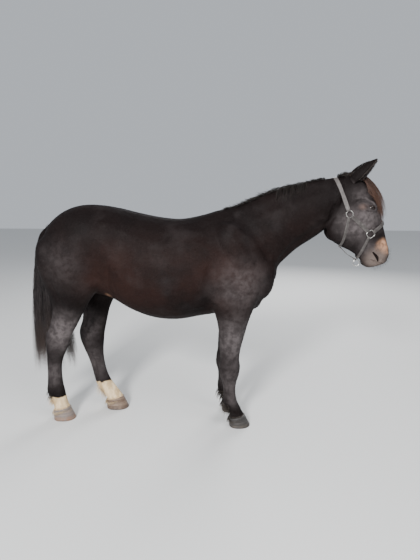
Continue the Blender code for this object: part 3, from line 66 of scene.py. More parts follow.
# A station is one cross-section: its upper (or front) and lower (or back) edge in the XZ plane,
# its half width, the Y of its middle, how high its widest point lies, and how square each edge is.
Station = namedtuple(
    "Station", "up_x up_z low_x low_z half y widest up_square low_square",
    defaults=(0.0, 0.5, 2.0, 2.0),
)
TORSO = [
    Station(-1.097, 1.365, -1.060, 1.130, 0.105),
    Station(-1.042, 1.430, -1.000, 1.040, 0.185, widest=0.55, up_square=2.2),
    Station(-0.950, 1.498, -0.930, 0.965, 0.240, widest=0.56, up_square=2.3),
    Station(-0.860, 1.534, -0.860, 0.930, 0.265, widest=0.58, up_square=2.3),
    Station(-0.760, 1.544, -0.770, 0.915, 0.275, widest=0.58, up_square=2.2),
    Station(-0.600, 1.521, -0.640, 0.885, 0.268, widest=0.54, up_square=2.1),
    Station(-0.450, 1.486, -0.490, 0.808, 0.280, widest=0.47, low_square=2.2),
    Station(-0.300, 1.456, -0.330, 0.755, 0.296, widest=0.44, low_square=2.2),
    Station(-0.150, 1.443, -0.170, 0.747, 0.298, widest=0.43, low_square=2.2),
    Station(0.000, 1.470, -0.010, 0.772, 0.280, widest=0.42, up_square=1.8),
    Station(0.110, 1.503, 0.120, 0.792, 0.250, widest=0.42, up_square=1.6),
    Station(0.210, 1.514, 0.260, 0.805, 0.228, widest=0.40, up_square=1.6),
    Station(0.300, 1.490, 0.370, 0.850, 0.210, widest=0.40, up_square=1.8),
    Station(0.370, 1.410, 0.445, 0.925, 0.185, widest=0.42),
    Station(0.430, 1.310, 0.480, 1.020, 0.150, widest=0.45),
]
NECK = [
    Station(0.020, 1.440, 0.400, 0.980, 0.185, widest=0.45, up_square=1.7),
    Station(0.130, 1.498, 0.480, 1.060, 0.172, widest=0.42, up_square=1.6),
    Station(0.240, 1.532, 0.522, 1.135, 0.148, widest=0.40, up_square=1.5),
    Station(0.360, 1.583, 0.575, 1.190, 0.128, widest=0.40, up_square=1.5),
    Station(0.480, 1.630, 0.638, 1.247, 0.112, widest=0.40, up_square=1.5),
    Station(0.600, 1.668, 0.702, 1.290, 0.100, widest=0.42, up_square=1.5),
    Station(0.720, 1.694, 0.765, 1.333, 0.094, widest=0.45, up_square=1.6),
    Station(0.830, 1.709, 0.815, 1.375, 0.090, widest=0.50, up_square=1.7),
    Station(0.910, 1.722, 0.870, 1.420, 0.085, widest=0.55, up_square=1.9),
]
HEAD = [
    Station(0.925, 1.728, 0.850, 1.440, 0.070, widest=0.60),
    Station(1.000, 1.712, 0.830, 1.372, 0.084, widest=0.58, up_square=2.2),
    Station(1.070, 1.662, 0.838, 1.322, 0.093, widest=0.60, up_square=2.4),
    Station(1.128, 1.580, 0.872, 1.290, 0.092, widest=0.62, up_square=2.6, low_square=2.2),
    Station(1.160, 1.500, 0.920, 1.262, 0.082, widest=0.60, up_square=2.6, low_square=2.2),
    Station(1.183, 1.422, 0.972, 1.230, 0.070, widest=0.56, up_square=2.4),
    Station(1.204, 1.352, 1.012, 1.204, 0.061, widest=0.52, up_square=2.3),
    Station(1.222, 1.292, 1.044, 1.184, 0.058, widest=0.50, up_square=2.2),
    Station(1.238, 1.238, 1.060, 1.162, 0.061, widest=0.50, up_square=2.2, low_square=2.2),
    Station(1.232, 1.180, 1.078, 1.138, 0.060, widest=0.50, up_square=2.4, low_square=2.4),
]
FORELEG = [
    Station(0.410, 1.100, 0.070, 1.040, 0.090, 0.140),
    Station(0.395, 0.960, 0.055, 0.915, 0.094, 0.142),
    Station(0.350, 0.850, 0.078, 0.850, 0.088, 0.136),
    Station(0.318, 0.760, 0.106, 0.750, 0.076, 0.128, widest=0.55),
    Station(0.292, 0.660, 0.117, 0.650, 0.064, 0.121, widest=0.55),
    Station(0.268, 0.560, 0.121, 0.555, 0.054, 0.116),
    Station(0.260, 0.490, 0.124, 0.490, 0.052, 0.113),
    Station(0.266, 0.435, 0.119, 0.435, 0.056, 0.112, up_square=2.6),
    Station(0.258, 0.375, 0.121, 0.372, 0.050, 0.112, up_square=2.6),
    Station(0.243, 0.320, 0.140, 0.318, 0.038, 0.112),
    Station(0.236, 0.255, 0.148, 0.255, 0.034, 0.112),
    Station(0.243, 0.200, 0.147, 0.195, 0.042, 0.112),
    Station(0.255, 0.160, 0.158, 0.150, 0.045, 0.112),
    Station(0.275, 0.118, 0.184, 0.104, 0.040, 0.112),
    Station(0.296, 0.080, 0.196, 0.062, 0.048, 0.112),
    Station(0.318, 0.030, 0.190, 0.030, 0.050, 0.112),
]
HINDLEG_BACK = [
    Station(-0.660, 1.300, -1.110, 1.300, 0.120, 0.140, widest=0.50),
    Station(-0.655, 1.190, -1.128, 1.200, 0.128, 0.145, widest=0.50),
    Station(-0.660, 1.080, -1.112, 1.110, 0.122, 0.148, widest=0.52),
    Station(-0.700, 0.975, -1.084, 1.005, 0.102, 0.144, widest=0.55),
    Station(-0.765, 0.890, -1.048, 0.900, 0.081, 0.134, widest=0.55),
    Station(-0.821, 0.800, -1.042, 0.810, 0.067, 0.125, widest=0.55),
    Station(-0.878, 0.700, -1.070, 0.705, 0.052, 0.118, widest=0.58),
    Station(-0.925, 0.622, -1.107, 0.632, 0.044, 0.114, widest=0.60, low_square=1.8),
    Station(-0.948, 0.560, -1.114, 0.575, 0.047, 0.112, widest=0.60),
    Station(-0.974, 0.500, -1.110, 0.502, 0.046, 0.112, widest=0.55),
    Station(-1.002, 0.430, -1.113, 0.430, 0.039, 0.112),
    Station(-1.009, 0.340, -1.115, 0.340, 0.037, 0.112),
    Station(-1.005, 0.262, -1.121, 0.262, 0.042, 0.112),
    Station(-0.997, 0.215, -1.126, 0.208, 0.048, 0.112),
    Station(-0.987, 0.155, -1.098, 0.140, 0.043, 0.112),
    Station(-0.972, 0.092, -1.078, 0.068, 0.048, 0.112),
    Station(-0.955, 0.035, -1.076, 0.032, 0.050, 0.112),
]
HINDLEG_FORWARD = [
    Station(-0.640, 1.300, -1.105, 1.300, 0.120, 0.140, widest=0.50),
    Station(-0.610, 1.190, -1.118, 1.200, 0.128, 0.145, widest=0.50),
    Station(-0.595, 1.075, -1.085, 1.110, 0.120, 0.148, widest=0.52),
    Station(-0.622, 0.965, -1.030, 1.000, 0.100, 0.144, widest=0.55),
    Station(-0.670, 0.870, -0.970, 0.895, 0.080, 0.134, widest=0.55),
    Station(-0.712, 0.780, -0.925, 0.795, 0.066, 0.122, widest=0.55),
    Station(-0.736, 0.680, -0.922, 0.695, 0.052, 0.112, widest=0.58),
    Station(-0.754, 0.590, -0.948, 0.612, 0.044, 0.104, widest=0.60, low_square=1.8),
    Station(-0.762, 0.520, -0.946, 0.545, 0.047, 0.100, widest=0.60),
    Station(-0.768, 0.455, -0.920, 0.470, 0.046, 0.098, widest=0.55),
    Station(-0.766, 0.385, -0.888, 0.392, 0.038, 0.096),
    Station(-0.752, 0.305, -0.862, 0.305, 0.035, 0.094),
    Station(-0.732, 0.245, -0.845, 0.232, 0.040, 0.092),
    Station(-0.708, 0.200, -0.826, 0.176, 0.046, 0.090),
    Station(-0.668, 0.148, -0.782, 0.118, 0.041, 0.088),
    Station(-0.630, 0.092, -0.748, 0.062, 0.048, 0.086),
    Station(-0.612, 0.035, -0.746, 0.030, 0.050, 0.086),
]
TAIL_CORE = [
    Station(-1.085, 1.395, -1.050, 1.345, 0.030),
    Station(-1.148, 1.330, -1.108, 1.290, 0.031),
    Station(-1.182, 1.220, -1.132, 1.205, 0.030),
    Station(-1.192, 1.080, -1.146, 1.080, 0.026),
    Station(-1.198, 0.960, -1.158, 0.960, 0.018),
    Station(-1.200, 0.900, -1.176, 0.900, 0.008),
]
FORE_OFF_SET_BACK = 0.070  # how far the left fore hoof stands behind the right one
FORE_SWING_TOP = 0.85  # the height above which both forelegs lie alike
# How far the rounded ends of the forms reach: the first and the last of each, and a leg's top.
TORSO_ENDS, NECK_ENDS, HEAD_ENDS, LEG_END = (0.035, 0.045), (0.02, 0.02), (0.03, 0.03), 0.03
DOCK_ENDS = (0.010, 0.004)
# Rounded masses under the skin on both sides: centre, radii, pitch in degrees.
Mass = namedtuple("Mass", "centre radii pitch", defaults=(0.0,))
MASSES = [
    Mass((0.230, 0.120, 1.190), (0.150, 0.105, 0.250), -24.0),
    Mass((0.140, 0.140, 0.990), (0.125, 0.092, 0.140), 0.0),
    Mass((0.400, 0.085, 1.030), (0.085, 0.095, 0.130), 12.0),
    Mass((0.335, 0.080, 0.925), (0.075, 0.080, 0.090), 0.0),
    Mass((-0.870, 0.105, 1.330), (0.215, 0.140, 0.165), -28.0),
    Mass((-1.020, 0.092, 1.200), (0.075, 0.098, 0.190), 4.0),
    Mass((0.905, 0.055, 1.385), (0.088, 0.040, 0.100), 30.0),
    Mass((1.078, 0.074, 1.522), (0.050, 0.036, 0.038), 30.0),
    Mass((1.196, 0.040, 1.212), (0.034, 0.026, 0.036), 20.0),
    Mass((1.100, 0.022, 1.150), (0.040, 0.034, 0.026), 20.0),
]
# Strokes on both sides of the body: how far they raise (+) or press (-) the surface, how far
# they reach, and the line they follow, seen from the side.
Stroke = namedtuple("Stroke", "depth reach line")
STROKES = [
    Stroke(0.005, 0.016, [(1.035, 1.548), (1.062, 1.554), (1.092, 1.546), (1.110, 1.526)]),
    Stroke(0.002, 0.012, [(1.050, 1.503), (1.078, 1.495), (1.100, 1.498)]),
    Stroke(-0.006, 0.026, [(1.028, 1.592), (1.052, 1.602)]),
    Stroke(-0.003, 0.022, [(1.128, 1.505), (1.142, 1.470)]),
    Stroke(0.004, 0.013, [(1.085, 1.462), (1.105, 1.420), (1.122, 1.385)]),
    Stroke(-0.005, 0.024, [(1.035, 1.440), (1.020, 1.360), (1.000, 1.290)]),
    Stroke(-0.004, 0.026, [(1.150, 1.420), (1.170, 1.350), (1.178, 1.300)]),
    Stroke(0.004, 0.060, [(0.930, 1.430), (0.950, 1.360)]),
    Stroke(0.004, 0.015, [(1.045, 1.535), (1.010, 1.555), (0.975, 1.585)]),
    Stroke(0.005, 0.028, [(0.882, 1.610), (0.874, 1.550)]),
    Stroke(-0.008, 0.028, [(0.852, 1.520), (0.836, 1.440), (0.820, 1.385)]),
    Stroke(0.004, 0.012, [(1.138, 1.236), (1.166, 1.218), (1.182, 1.190), (1.176, 1.168)]),
    Stroke(0.003, 0.010, [(1.120, 1.218), (1.130, 1.192), (1.146, 1.168)]),
    Stroke(0.003, 0.016, [(1.200, 1.132), (1.140, 1.138)]),
    Stroke(-0.004, 0.018, [(1.078, 1.196), (1.068, 1.176)]),
    Stroke(-0.009, 0.042, [(0.790, 1.410), (0.700, 1.345), (0.600, 1.270), (0.530, 1.190)]),
    Stroke(-0.005, 0.050, [(0.750, 1.640), (0.550, 1.570), (0.360, 1.490)]),
    Stroke(-0.011, 0.055, [(0.230, 1.460), (0.330, 1.360), (0.430, 1.220)]),
    Stroke(-0.008, 0.070, [(0.020, 1.400), (0.030, 1.330)]),
    Stroke(0.004, 0.028, [(0.130, 1.420), (0.240, 1.300), (0.330, 1.170)]),
    Stroke(0.008, 0.055, [(0.415, 1.075)]),
    Stroke(-0.009, 0.048, [(0.075, 1.120), (0.045, 1.000), (0.060, 0.900)]),
    Stroke(-0.006, 0.030, [(0.340, 1.000), (0.300, 0.930)]),
    Stroke(0.008, 0.032, [(0.100, 0.905)]),
    Stroke(-0.010, 0.095, [(-0.520, 1.300), (-0.500, 1.220)]),
    Stroke(0.010, 0.055, [(-0.605, 1.415)]),
    Stroke(-0.008, 0.034, [(-0.600, 0.940), (-0.615, 1.020), (-0.600, 1.120)]),
    Stroke(0.010, 0.070, [(-0.715, 1.020)]),
    Stroke(-0.007, 0.036, [(-1.015, 1.310), (-1.010, 1.150), (-0.985, 1.000), (-0.950, 0.900)]),
    Stroke(0.005, 0.040, [(-1.070, 1.270), (-1.070, 1.120)]),
]
# The same along the middle of the body, where each point also states its Y.
MIDDLE_STROKES = [
    Stroke(-0.010, 0.030, [(0.520, 0.0, 1.080), (0.480, 0.0, 0.970), (0.410, 0.0, 0.860)]),
    Stroke(-0.022, 0.042, [(-1.130, 0.0, 1.300), (-1.120, 0.0, 1.150), (-1.060, 0.0, 1.020)]),
    Stroke(-0.012, 0.026, [(0.920, 0.0, 1.300), (0.990, 0.0, 1.230), (1.030, 0.0, 1.200)]),
    Stroke(-0.006, 0.045, [(-1.020, 0.0, 1.470), (-0.800, 0.0, 1.545), (-0.600, 0.0, 1.520)]),
    Stroke(-0.003, 0.014, [(1.243, 0.0, 1.250), (1.236, 0.0, 1.190)]),
]
# The same on both faces of a leg: each point is a share of the leg's depth, from its back edge
# to its front one, and a height.
LEG_STROKES = {
    "fore": [
        Stroke(-0.005, 0.022, [(0.45, 0.780), (0.42, 0.660), (0.45, 0.550)]),
        Stroke(0.004, 0.026, [(0.72, 0.440)]),
        Stroke(0.005, 0.016, [(0.08, 0.430)]),
        Stroke(-0.005, 0.013, [(0.42, 0.345), (0.42, 0.280), (0.42, 0.220)]),
        Stroke(0.003, 0.022, [(0.45, 0.165)]),
    ],
    "hind": [
        Stroke(0.005, 0.050, [(0.55, 0.880)]),
        Stroke(-0.008, 0.020, [(0.24, 0.780), (0.22, 0.720), (0.20, 0.660)]),
        Stroke(0.004, 0.026, [(0.50, 0.560)]),
        Stroke(-0.005, 0.013, [(0.42, 0.440), (0.42, 0.350), (0.42, 0.260)]),
        Stroke(0.003, 0.022, [(0.45, 0.200)]),
    ],
}
# The same as grooves and folds round the eyes, and as veins under the skin.
BROW = [
    Stroke(0.0042, 0.012, [(0.985, 1.572), (1.012, 1.583), (1.045, 1.578), (1.075, 1.560),
                           (1.098, 1.541)]),
    Stroke(-0.0040, 0.009, [(0.990, 1.556), (1.015, 1.567), (1.045, 1.561), (1.073, 1.545),
                            (1.094, 1.529)]),
    Stroke(-0.0040, 0.030, [(1.000, 1.610), (1.030, 1.622), (1.055, 1.618)]),
    Stroke(-0.0022, 0.009, [(1.030, 1.508), (1.055, 1.493), (1.085, 1.488)]),
]
FACE_VEINS = [
    Stroke(0.0016, 0.005, [(1.048, 1.480), (1.070, 1.440), (1.090, 1.395), (1.100, 1.350),
                           (1.092, 1.305), (1.070, 1.262)]),
    Stroke(0.0012, 0.004, [(1.098, 1.372), (1.125, 1.330), (1.140, 1.290)]),
]
BODY_VEINS = [
    Stroke(0.0016, 0.005, [(0.33, 0.90), (0.285, 0.80), (0.275, 0.70), (0.268, 0.60)]),
    Stroke(0.0020, 0.007, [(-0.70, 0.99), (-0.76, 0.90), (-0.83, 0.80), (-0.90, 0.70)]),
    Stroke(0.0022, 0.008, [(0.02, 0.88), (-0.08, 0.86), (-0.20, 0.86), (-0.32, 0.89)]),
]
# The plane that parts head and trunk: a point and the way out of the trunk.
HEAD_CUT = ((0.848, 0.0, 1.555), (0.969, 0.0, -0.248))
HEAD_PAST, TRUNK_PAST = 0.004, 0.016  # how far each goes past it
FACE_GROWS = (0.008, 0.0)  # how far round the face's fine forms the mesh is split, twice
EASE_ROUNDS = 50
EYE_RADIUS = 0.021
EYE = (1.080, 0.0880, 1.518)
EYE_OUT = (0.30, 0.95, 0.05)  # the way the eye looks, on the left side
EYE_LONG_WAY = (0.88, 0.0, -0.47)  # from the back corner to the front one
LID_LENGTH, LID_OPEN, LID_THICK = 0.045, 0.0185, 0.0017
LID_RISE, LID_DROP = 0.62, 0.38  # how the opening lies above and below its corners
UPPER_FOLDS = [(0.0042, 0.0011), (0.0132, 0.0013), (0.0185, 0.0008)]  # how far off, how deep
LOWER_FOLDS = [(0.0045, 0.0009), (0.0100, 0.0009)]
MOUTH = [(1.112, 1.181), (1.135, 1.172), (1.160, 1.164), (1.184, 1.158)]  # X and Z
MOUTH_FRONT = [(0.034, 1.154), (0.018, 1.152), (0.0, 1.152)]  # Y and Z
MOUTH_GROOVE = Stroke(-0.0060, 0.0042, None)
LIP_SWELL = Stroke(0.0016, 0.012, None)
# X, Z and half width down the nostril's comma
NOSTRIL = [(1.122, 1.228, 0.0040), (1.130, 1.219, 0.0062), (1.143, 1.205, 0.0090),
           (1.154, 1.188, 0.0095), (1.157, 1.172, 0.0060)]
NOSTRIL_DEPTH, NOSTRIL_RIM = 0.020, 0.0016
EAR_BASE, EAR_TIP = (0.980, 0.050, 1.688), (1.100, 0.082, 1.818)
EAR_LENGTH_ROWS = [
    # along the ear, half width, depth of the cup's outside
    (0.00, 0.029, 0.040),
    (0.20, 0.034, 0.045),
    (0.42, 0.034, 0.042),
    (0.64, 0.028, 0.032),
    (0.84, 0.016, 0.018),
    (1.00, 0.003, 0.004),
]
EAR_ARC = 118.0  # degrees each way that the cup wraps round
EAR_SIDES = 41
EAR_WALL, EAR_RIM_WALL = 0.0042, 0.0018
EAR_OPEN = (0.75, 0.45, -0.45)  # the way the left cup opens
HOOF_TOE, HOOF_HEEL = 0.046, 0.004  # how far the wall spreads past the coronet, front and back
HOOF_SPREAD = 0.013
HOOF_LIP, CORONET_SPREAD = 0.004, 0.006  # the coronet's band outside the leg, and its sides
HOOF_RIPPLE, HOOF_BAND, HOOF_EDGE = 0.0007, 0.0022, 0.0040  # its rings, coronet and worn edge
HOOF_SIDES, HOOF_ROWS = 80, 34

# The map and the marks of the coat
LEG_TOP = 0.80  # below it the legs have their own place on the unwrap
LEG_Y = 0.112
AXIS = [(-1.20, 1.20), (-0.80, 1.24), (0.10, 1.14), (0.42, 1.30), (0.88, 1.56), (1.02, 1.52),
        (1.10, 1.36), (1.20, 1.16)]  # X and Z of the line that the trunk, neck and head wrap
PATCH = 0.003  # a strand's patch on the OFBake map
SOCK_RIGHT, SOCK_LEFT = 0.176, 0.216  # the height of the white on each hind leg
SOCKS_BEHIND = -0.45
# Places seen from the side: X, Z and reach
MUZZLE_TAN, FLANK_TAN = (1.190, 1.268, 0.082), (-0.640, 0.920, 0.045)
BARE_LIP = (1.150, 1.180, 0.118)
PINK_PATCH, PINK_STRETCH = (1.030, 1.522, 0.042), 1.25  # it is longer than high
# Greyish dust and painted sheen on the coat: how much, and its place
GREY_AND_SHEEN_PLACES = [
    (1.00, (0.985, 1.410, 0.170)), (0.70, (1.110, 1.460, 0.150)), (0.60, (1.100, 1.250, 0.110)),
    (0.45, (0.260, 1.020, 0.260)), (0.88, (0.250, 0.640, 0.260)), (0.55, (0.215, 0.330, 0.200)),
    (1.00, (-0.950, 0.660, 0.240)), (0.55, (-1.060, 0.350, 0.160)), (0.55, (-0.820, 0.360, 0.200)),
    (0.20, (-0.900, 1.150, 0.250)), (0.40, (1.020, 1.600, 0.110)), (0.45, (0.240, 0.200, 0.090)),
]
# Reddish brown in the coat: how much, and its place
RED = [
    (1.0, (0.22, 1.10, 0.42)), (0.9, (-0.25, 0.98, 0.50)), (0.9, (-0.62, 1.05, 0.30)),
    (0.5, (-0.85, 1.25, 0.40)), (0.4, (0.55, 1.40, 0.35)),
]
# The spacing and the length of the tufts of short fur
HEAD_FUR, LEG_FUR = (0.0033, 0.0075), (0.0055, 0.012)
TRUNK_FUR, DOCK_FUR = (0.0082, 0.016), (0.0045, 0.022)
DOCK_FUR_LOW = 1.10  # fur covers the dock down to here
TUFT_WIDTH = 0.13  # of its length
# The way the fur lies on the face, the neck and the legs
FACE_FLOW, NECK_FLOW, LEG_FLOW = (0.30, 0.0, -0.85), (-0.55, 0.0, -0.75), (-0.12, 0.0, -1.0)

# Long hair: how many guide paths, the strands round each, how far those spread, their width
# and steps, how much they wave, how far they draw together, and where the shortest end.
Hair = namedtuple("Hair", "guides strands spread width steps wild clump ends")
MANE = Hair(250, 14, 0.012, 0.0016, 9, 0.005, 0.6, (0.45, 1.0))
FORELOCK = Hair(150, 17, 0.009, 0.0021, 11, 0.007, 0.6, (0.82, 1.0))
FEATHER = Hair(100, 5, 0.007, 0.0013, 7, 0.005, 0.75, (0.55, 1.0))
TAIL = Hair(120, 16, 0.018, 0.0023, 14, 0.011, 0.65, (0.90, 1.0))
# A kind of lock in the mane: its length, shortest and longest share of it, the way it starts,
# the way it hangs, and how fast it bends that way.
Lock = namedtuple("Lock", "length shortest longest first pull bend")
LEFT_LOCK = Lock(0.180, 0.6, 1.10, (-0.35, 0.45, 0.8), (-0.18, 0.30, -1.0), 0.20)
RIGHT_LOCK = Lock(0.150, 0.5, 1.25, (-0.25, -0.50, 0.8), (-0.10, -0.35, -1.0), 0.24)
SHORT_LOCK = Lock(0.060, 0.5, 1.30, (-0.65, -0.40, 0.6), (-0.80, -0.50, -0.1), 0.08)
MANE_FROM, MANE_TO = 0.150, 0.800  # along X on the crest
RIGHT_FROM, RIGHT_TO, RIGHT_SHARE = 0.50, 0.70, 0.80  # where locks hang on the right, and how many
POLL_GUIDES, POLL_X, POLL_Y = 40, (0.872, 0.950), (-0.022, 0.022)
FORELOCK_LINE = [(0.938, 1.700), (0.962, 1.738), (1.020, 1.735), (1.078, 1.700), (1.130, 1.645),
                 (1.168, 1.585), (1.193, 1.520), (1.206, 1.462), (1.204, 1.418)]
FORELOCK_ENDS = (0.76, 1.0)  # along its line
FORELOCK_DEEP = 0.050
FORELOCK_ROOT, FORELOCK_SPREAD, FORELOCK_ROUND = 0.014, 0.054, 0.046  # to each side, and back
TAIL_BACK, TAIL_FRONT = -1.240, -0.985
TAIL_LOW, TAIL_HIGH = 0.275, 0.560
TAIL_Y = (-0.006, 0.056)  # how far its tips lie to their side
FORWARD_TIP = ((-1.005, -0.940), (-0.030, 0.030), (0.300, 0.420))  # of the lock between the legs
DRAPE_STEPS, FREE_STEPS = 24, 3  # the steps of a guide path, and those before it meets the skin
FEATHER_ARC = 78  # degrees each way from the back of the leg
WHITE_FEATHER, DARK_FEATHER = (-0.085, 0.004), (-0.050, 0.022)  # its roots about the fetlock
FEATHER_SIDE, FEATHER_BACK = 0.026, 0.050  # how long it is, and how much longer at the back
FRINGE_HAIRS, LASHES, EAR_HAIRS = 900, 44, 1200
# The shortest and the longest hair
FRINGE_LENGTH, WHISKER_LENGTH = (0.018, 0.030), (0.010, 0.034)
UPPER_LASH, LOWER_LASH = (0.013, 0.020), (0.006, 0.009)
RIM_HAIR, CUP_HAIR, EAR_TUFT = (0.006, 0.013), (0.014, 0.026), (0.004, 0.007)
FRINGE_WIDTH, LASH_WIDTH, EAR_HAIR_WIDTH, EAR_TUFT_WIDTH, WHISKER_WIDTH = (
    0.0017, 0.0011, 0.0009, 0.0010, 0.0007)
EAR_TUFT_SPACING, WHISKER_SPACING = 0.0026, 0.011

# The headcollar, on the left side: rings, and straps from ring to ring.
ROUND_RING = (0.948, 0.100, 1.478)
SQUARE_RING = (1.093, 0.080, 1.348)
THROAT_LOW, CHIN_LOW = (0.914, 0.0, 1.264), (1.028, 0.0, 1.176)  # slack under the jaw
CROWN_TOP, NOSE_TOP = (0.858, 0.0, 1.720), (1.195, 0.0, 1.425)
NOSE_WAY, CHIN_WAY = (0.80, 0, 0.60), (-0.45, 0, -0.89)  # from the square ring along each strap
THROAT_WAY = (-0.17, 0, -0.985)
THIN_STRAP = 0.018
STRAP_WIDTH, STRAP_THICK = 0.025, 0.0034
STRAP_END = 0.0088  # its thickness where it is folded
STRAP_PAST = 0.0045  # how far it goes on round a ring's bar
STRAP_OFF = 0.0052  # from the skin to the middle of a strap
RING_RADIUS, RING_BAR = 0.021, 0.0026
SQUARE_HALF = 0.022
RING_OFF = 0.0050  # from the flesh to the middle of a ring's bar
BUCKLE_AT = 0.86  # along the crown strap, on the left cheek
BUCKLE_BAR, KEEPER_BAR, PRONG_WIDTH = 0.0017, 0.0016, 0.0032
RAYS, RAY_REACH = 48, 0.45  # the rays that feel for the flesh under a strap
ROUND_STEPS, STRAP_STEPS, BAR_SIDES, PRONG_STEPS = 48, 46, 12, 9
STITCH, STITCH_GAP, STITCH_IN = 0.0034, 0.0052, 0.0034
STITCH_WIDE, STITCH_HIGH = 0.00055, 0.00060
# Across and up of the right half of a strap's section, as shares of half its width and thickness
STRAP_HALF = [(0.90, -1.0), (0.985, -0.7), (1.0, 0.0), (0.975, 0.70), (0.90, 0.98), (0.78, 1.0),
              (0.73, 0.72), (0.68, 1.02), (0.35, 1.12)]
STRAP_SECTION = [(-0.90, -1.0), *STRAP_HALF, (0.0, 1.15),
                 *((-x, y) for x, y in STRAP_HALF[:0:-1])]

# Colours
BLACK_BROWN, RED_BROWN = (0.0050, 0.0033, 0.0032), (0.0190, 0.0084, 0.0066)
# A grey for dust in the coat and for painted sheen
GREY_DUST_AND_SHEEN = (0.092, 0.079, 0.079)
SOCK_CREAM, SOCK_SHADE = (0.76, 0.59, 0.37), (0.50, 0.36, 0.20)
TAN, LIP_GREY = (0.380, 0.210, 0.130), (0.118, 0.092, 0.080)
PINK_GREY = (0.110, 0.076, 0.066)
# The first is painted shade deep in the nostrils and inside the eye openings, and also the dark of
# the lid rims
PAINTED_SHADE_AND_LID_DARK, FUR_DARK = (0.012, 0.008, 0.007), (0.006, 0.004, 0.004)
LEATHER, LEATHER_WORN = (0.028, 0.023, 0.021), (0.075, 0.066, 0.062)
FADED, CROWN_PAINTED_LIGHT = 0.03, 0.32  # how far the straps are faded by the sun; the crown strap's far larger share is mostly painted light on top of the head
# The second colour is faded leather, and also painted light on the crown strap
LEATHER_GRAIN, LEATHER_FADED_AND_LIT = (0.10, 0.092, 0.087), (0.150, 0.135, 0.128)
THREAD_DARK, THREAD_LIGHT = (0.12, 0.105, 0.095), (0.22, 0.20, 0.18)
STEEL, STEEL_DULL = (0.52, 0.51, 0.48), (0.26, 0.24, 0.21)
IRIS_DARK, IRIS_LIGHT = (0.012, 0.006, 0.004), (0.026, 0.013, 0.008)
FLOOR_GREY, SKY, SKY_STRENGTH = (0.62, 0.62, 0.61), (0.80, 0.85, 0.92, 1.0), 0.65
PUPIL, EYE_RIM = (0.002, 0.002, 0.003), (0.030, 0.022, 0.018)
# Long hair: dark and light strands, bleached tips, where the tips start and are full, and the
# height under which roots are white.
HAIR_LOOKS = {
    "mane_strands": ((0.010, 0.008, 0.007), (0.026, 0.021, 0.019), (0.048, 0.034, 0.027), 0.5),
    "tail_strands": ((0.013, 0.011, 0.011), (0.078, 0.066, 0.066), (0.125, 0.088, 0.076), 0.55),
    "forelock_strands": ((0.012, 0.008, 0.007), (0.034, 0.019, 0.014), (0.098, 0.050, 0.034),
                         0.20, 0.85),
    "feather_dark": ((0.013, 0.010, 0.009), (0.045, 0.034, 0.027), (0.090, 0.065, 0.045), 0.4),
    "feather_hind_right": ((0.013, 0.010, 0.009), (0.030, 0.024, 0.020), (0.060, 0.045, 0.034),
                           0.5, 1.0, SOCK_RIGHT),
    "feather_hind_left": ((0.013, 0.010, 0.009), (0.030, 0.024, 0.020), (0.060, 0.045, 0.034),
                          0.5, 1.0, SOCK_LEFT),
    "ear_lining": ((0.020, 0.016, 0.014), (0.085, 0.068, 0.058), (0.050, 0.040, 0.034), 0.5),
}
# Base, rings and worn lower edge of each hoof's horn
FORE_HORN = ((0.017, 0.015, 0.014), (0.036, 0.031, 0.028), (0.058, 0.046, 0.036))
HORN_COLOURS = {
    "fore_right": FORE_HORN,
    "fore_left": FORE_HORN,
    "hind_right": ((0.120, 0.105, 0.105), (0.200, 0.155, 0.125), (0.190, 0.090, 0.045)),
    "hind_left": ((0.200, 0.140, 0.100), (0.110, 0.070, 0.048), (0.050, 0.030, 0.022)),
}

LIT_POINT = Vector((0.1, 0.0, 1.1))
LIGHTS = [
    ("sun_side", (-1.6, -6.0, 4.2), 1.3, 860.0),
    ("sky_fill", (3.5, -3.0, 5.5), 4.0, 200.0),
    ("far_rim", (1.5, 5.5, 4.0), 3.0, 300.0),
]
CAMERA_PLACE = (0.2754, -2.8968, 1.566)
CAMERA_YAW, CAMERA_DOWN = -4.5, 10.66  # degrees to the left of +Y, and below level
CAMERA_LENS = 27.32

FLESH_NODES = ["torso", "neck", "head", "foreleg_right", "foreleg_left", "fore_cannon_right",
               "fore_cannon_left", "hindleg_right", "hindleg_left", "hind_cannon_right",
               "hind_cannon_left"]

SHIFT = sum(corner.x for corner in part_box("eye_right")) / 2 - EYE[0]


def linked(name, data):
    """An object of the scene with this mesh, light or camera."""
    obj = bpy.data.objects.new(name, data)
    bpy.context.scene.collection.objects.link(obj)
    return obj


def mesh_object(name, points, faces):
    mesh = bpy.data.meshes.new(name)
    mesh.from_pydata([tuple(p) for p in points], [], [tuple(f) for f in faces])
    mesh.update()
    return linked(name, mesh)


def reshaped(obj, change):
    """The object with its mesh changed by a function."""
    shape = bmesh.new()
    shape.from_mesh(obj.data)
    change(shape)
    shape.to_mesh(obj.data)
    shape.free()
    return obj


def outward(obj):
    """The closed mesh with its faces turned outward."""
    return reshaped(
        obj, lambda shape: bmesh.ops.recalc_face_normals(shape, faces=shape.faces))


def settle(obj):
    """Makes the mesh as its modifiers shape it, and drops them."""
    graph = bpy.context.evaluated_depsgraph_get()
    made = bpy.data.meshes.new_from_object(obj.evaluated_get(graph), depsgraph=graph)
    old = obj.data
    obj.modifiers.clear()
    obj.data = made
    bpy.data.meshes.remove(old)
    return obj


def gathered(rows, key):
    values = np.empty(len(rows) * 3)
    rows.foreach_get(key, values)
    return values.reshape(-1, 3)


def points_of(obj):
    return gathered(obj.data.vertices, "co")


def normals_of(obj):
    return gathered(obj.data.vertex_normals, "vector")


def ramp(values, low, high):
    """0 below low, 1 above high, soft between."""
    share = np.clip((values - low) / (high - low), 0, 1)
    return share * share * (3 - 2 * share)


def unit(vectors):
    return vectors / np.maximum(np.linalg.norm(vectors, axis=-1, keepdims=True), 1e-9)


def mirror(point, side):
    """A place on the left side, or its twin on the right where side is -1."""
    return Vector((point[0], side * point[1], point[2]))


def from_run(points, a, b):
    """Each point's share of the way from a to b, and how far it lies from there."""
    run = b - a
    share = np.clip((points - a) @ run / max(run @ run, 1e-12), 0, 1)
    return share, np.linalg.norm(points - a - share[:, None] * run, axis=1)


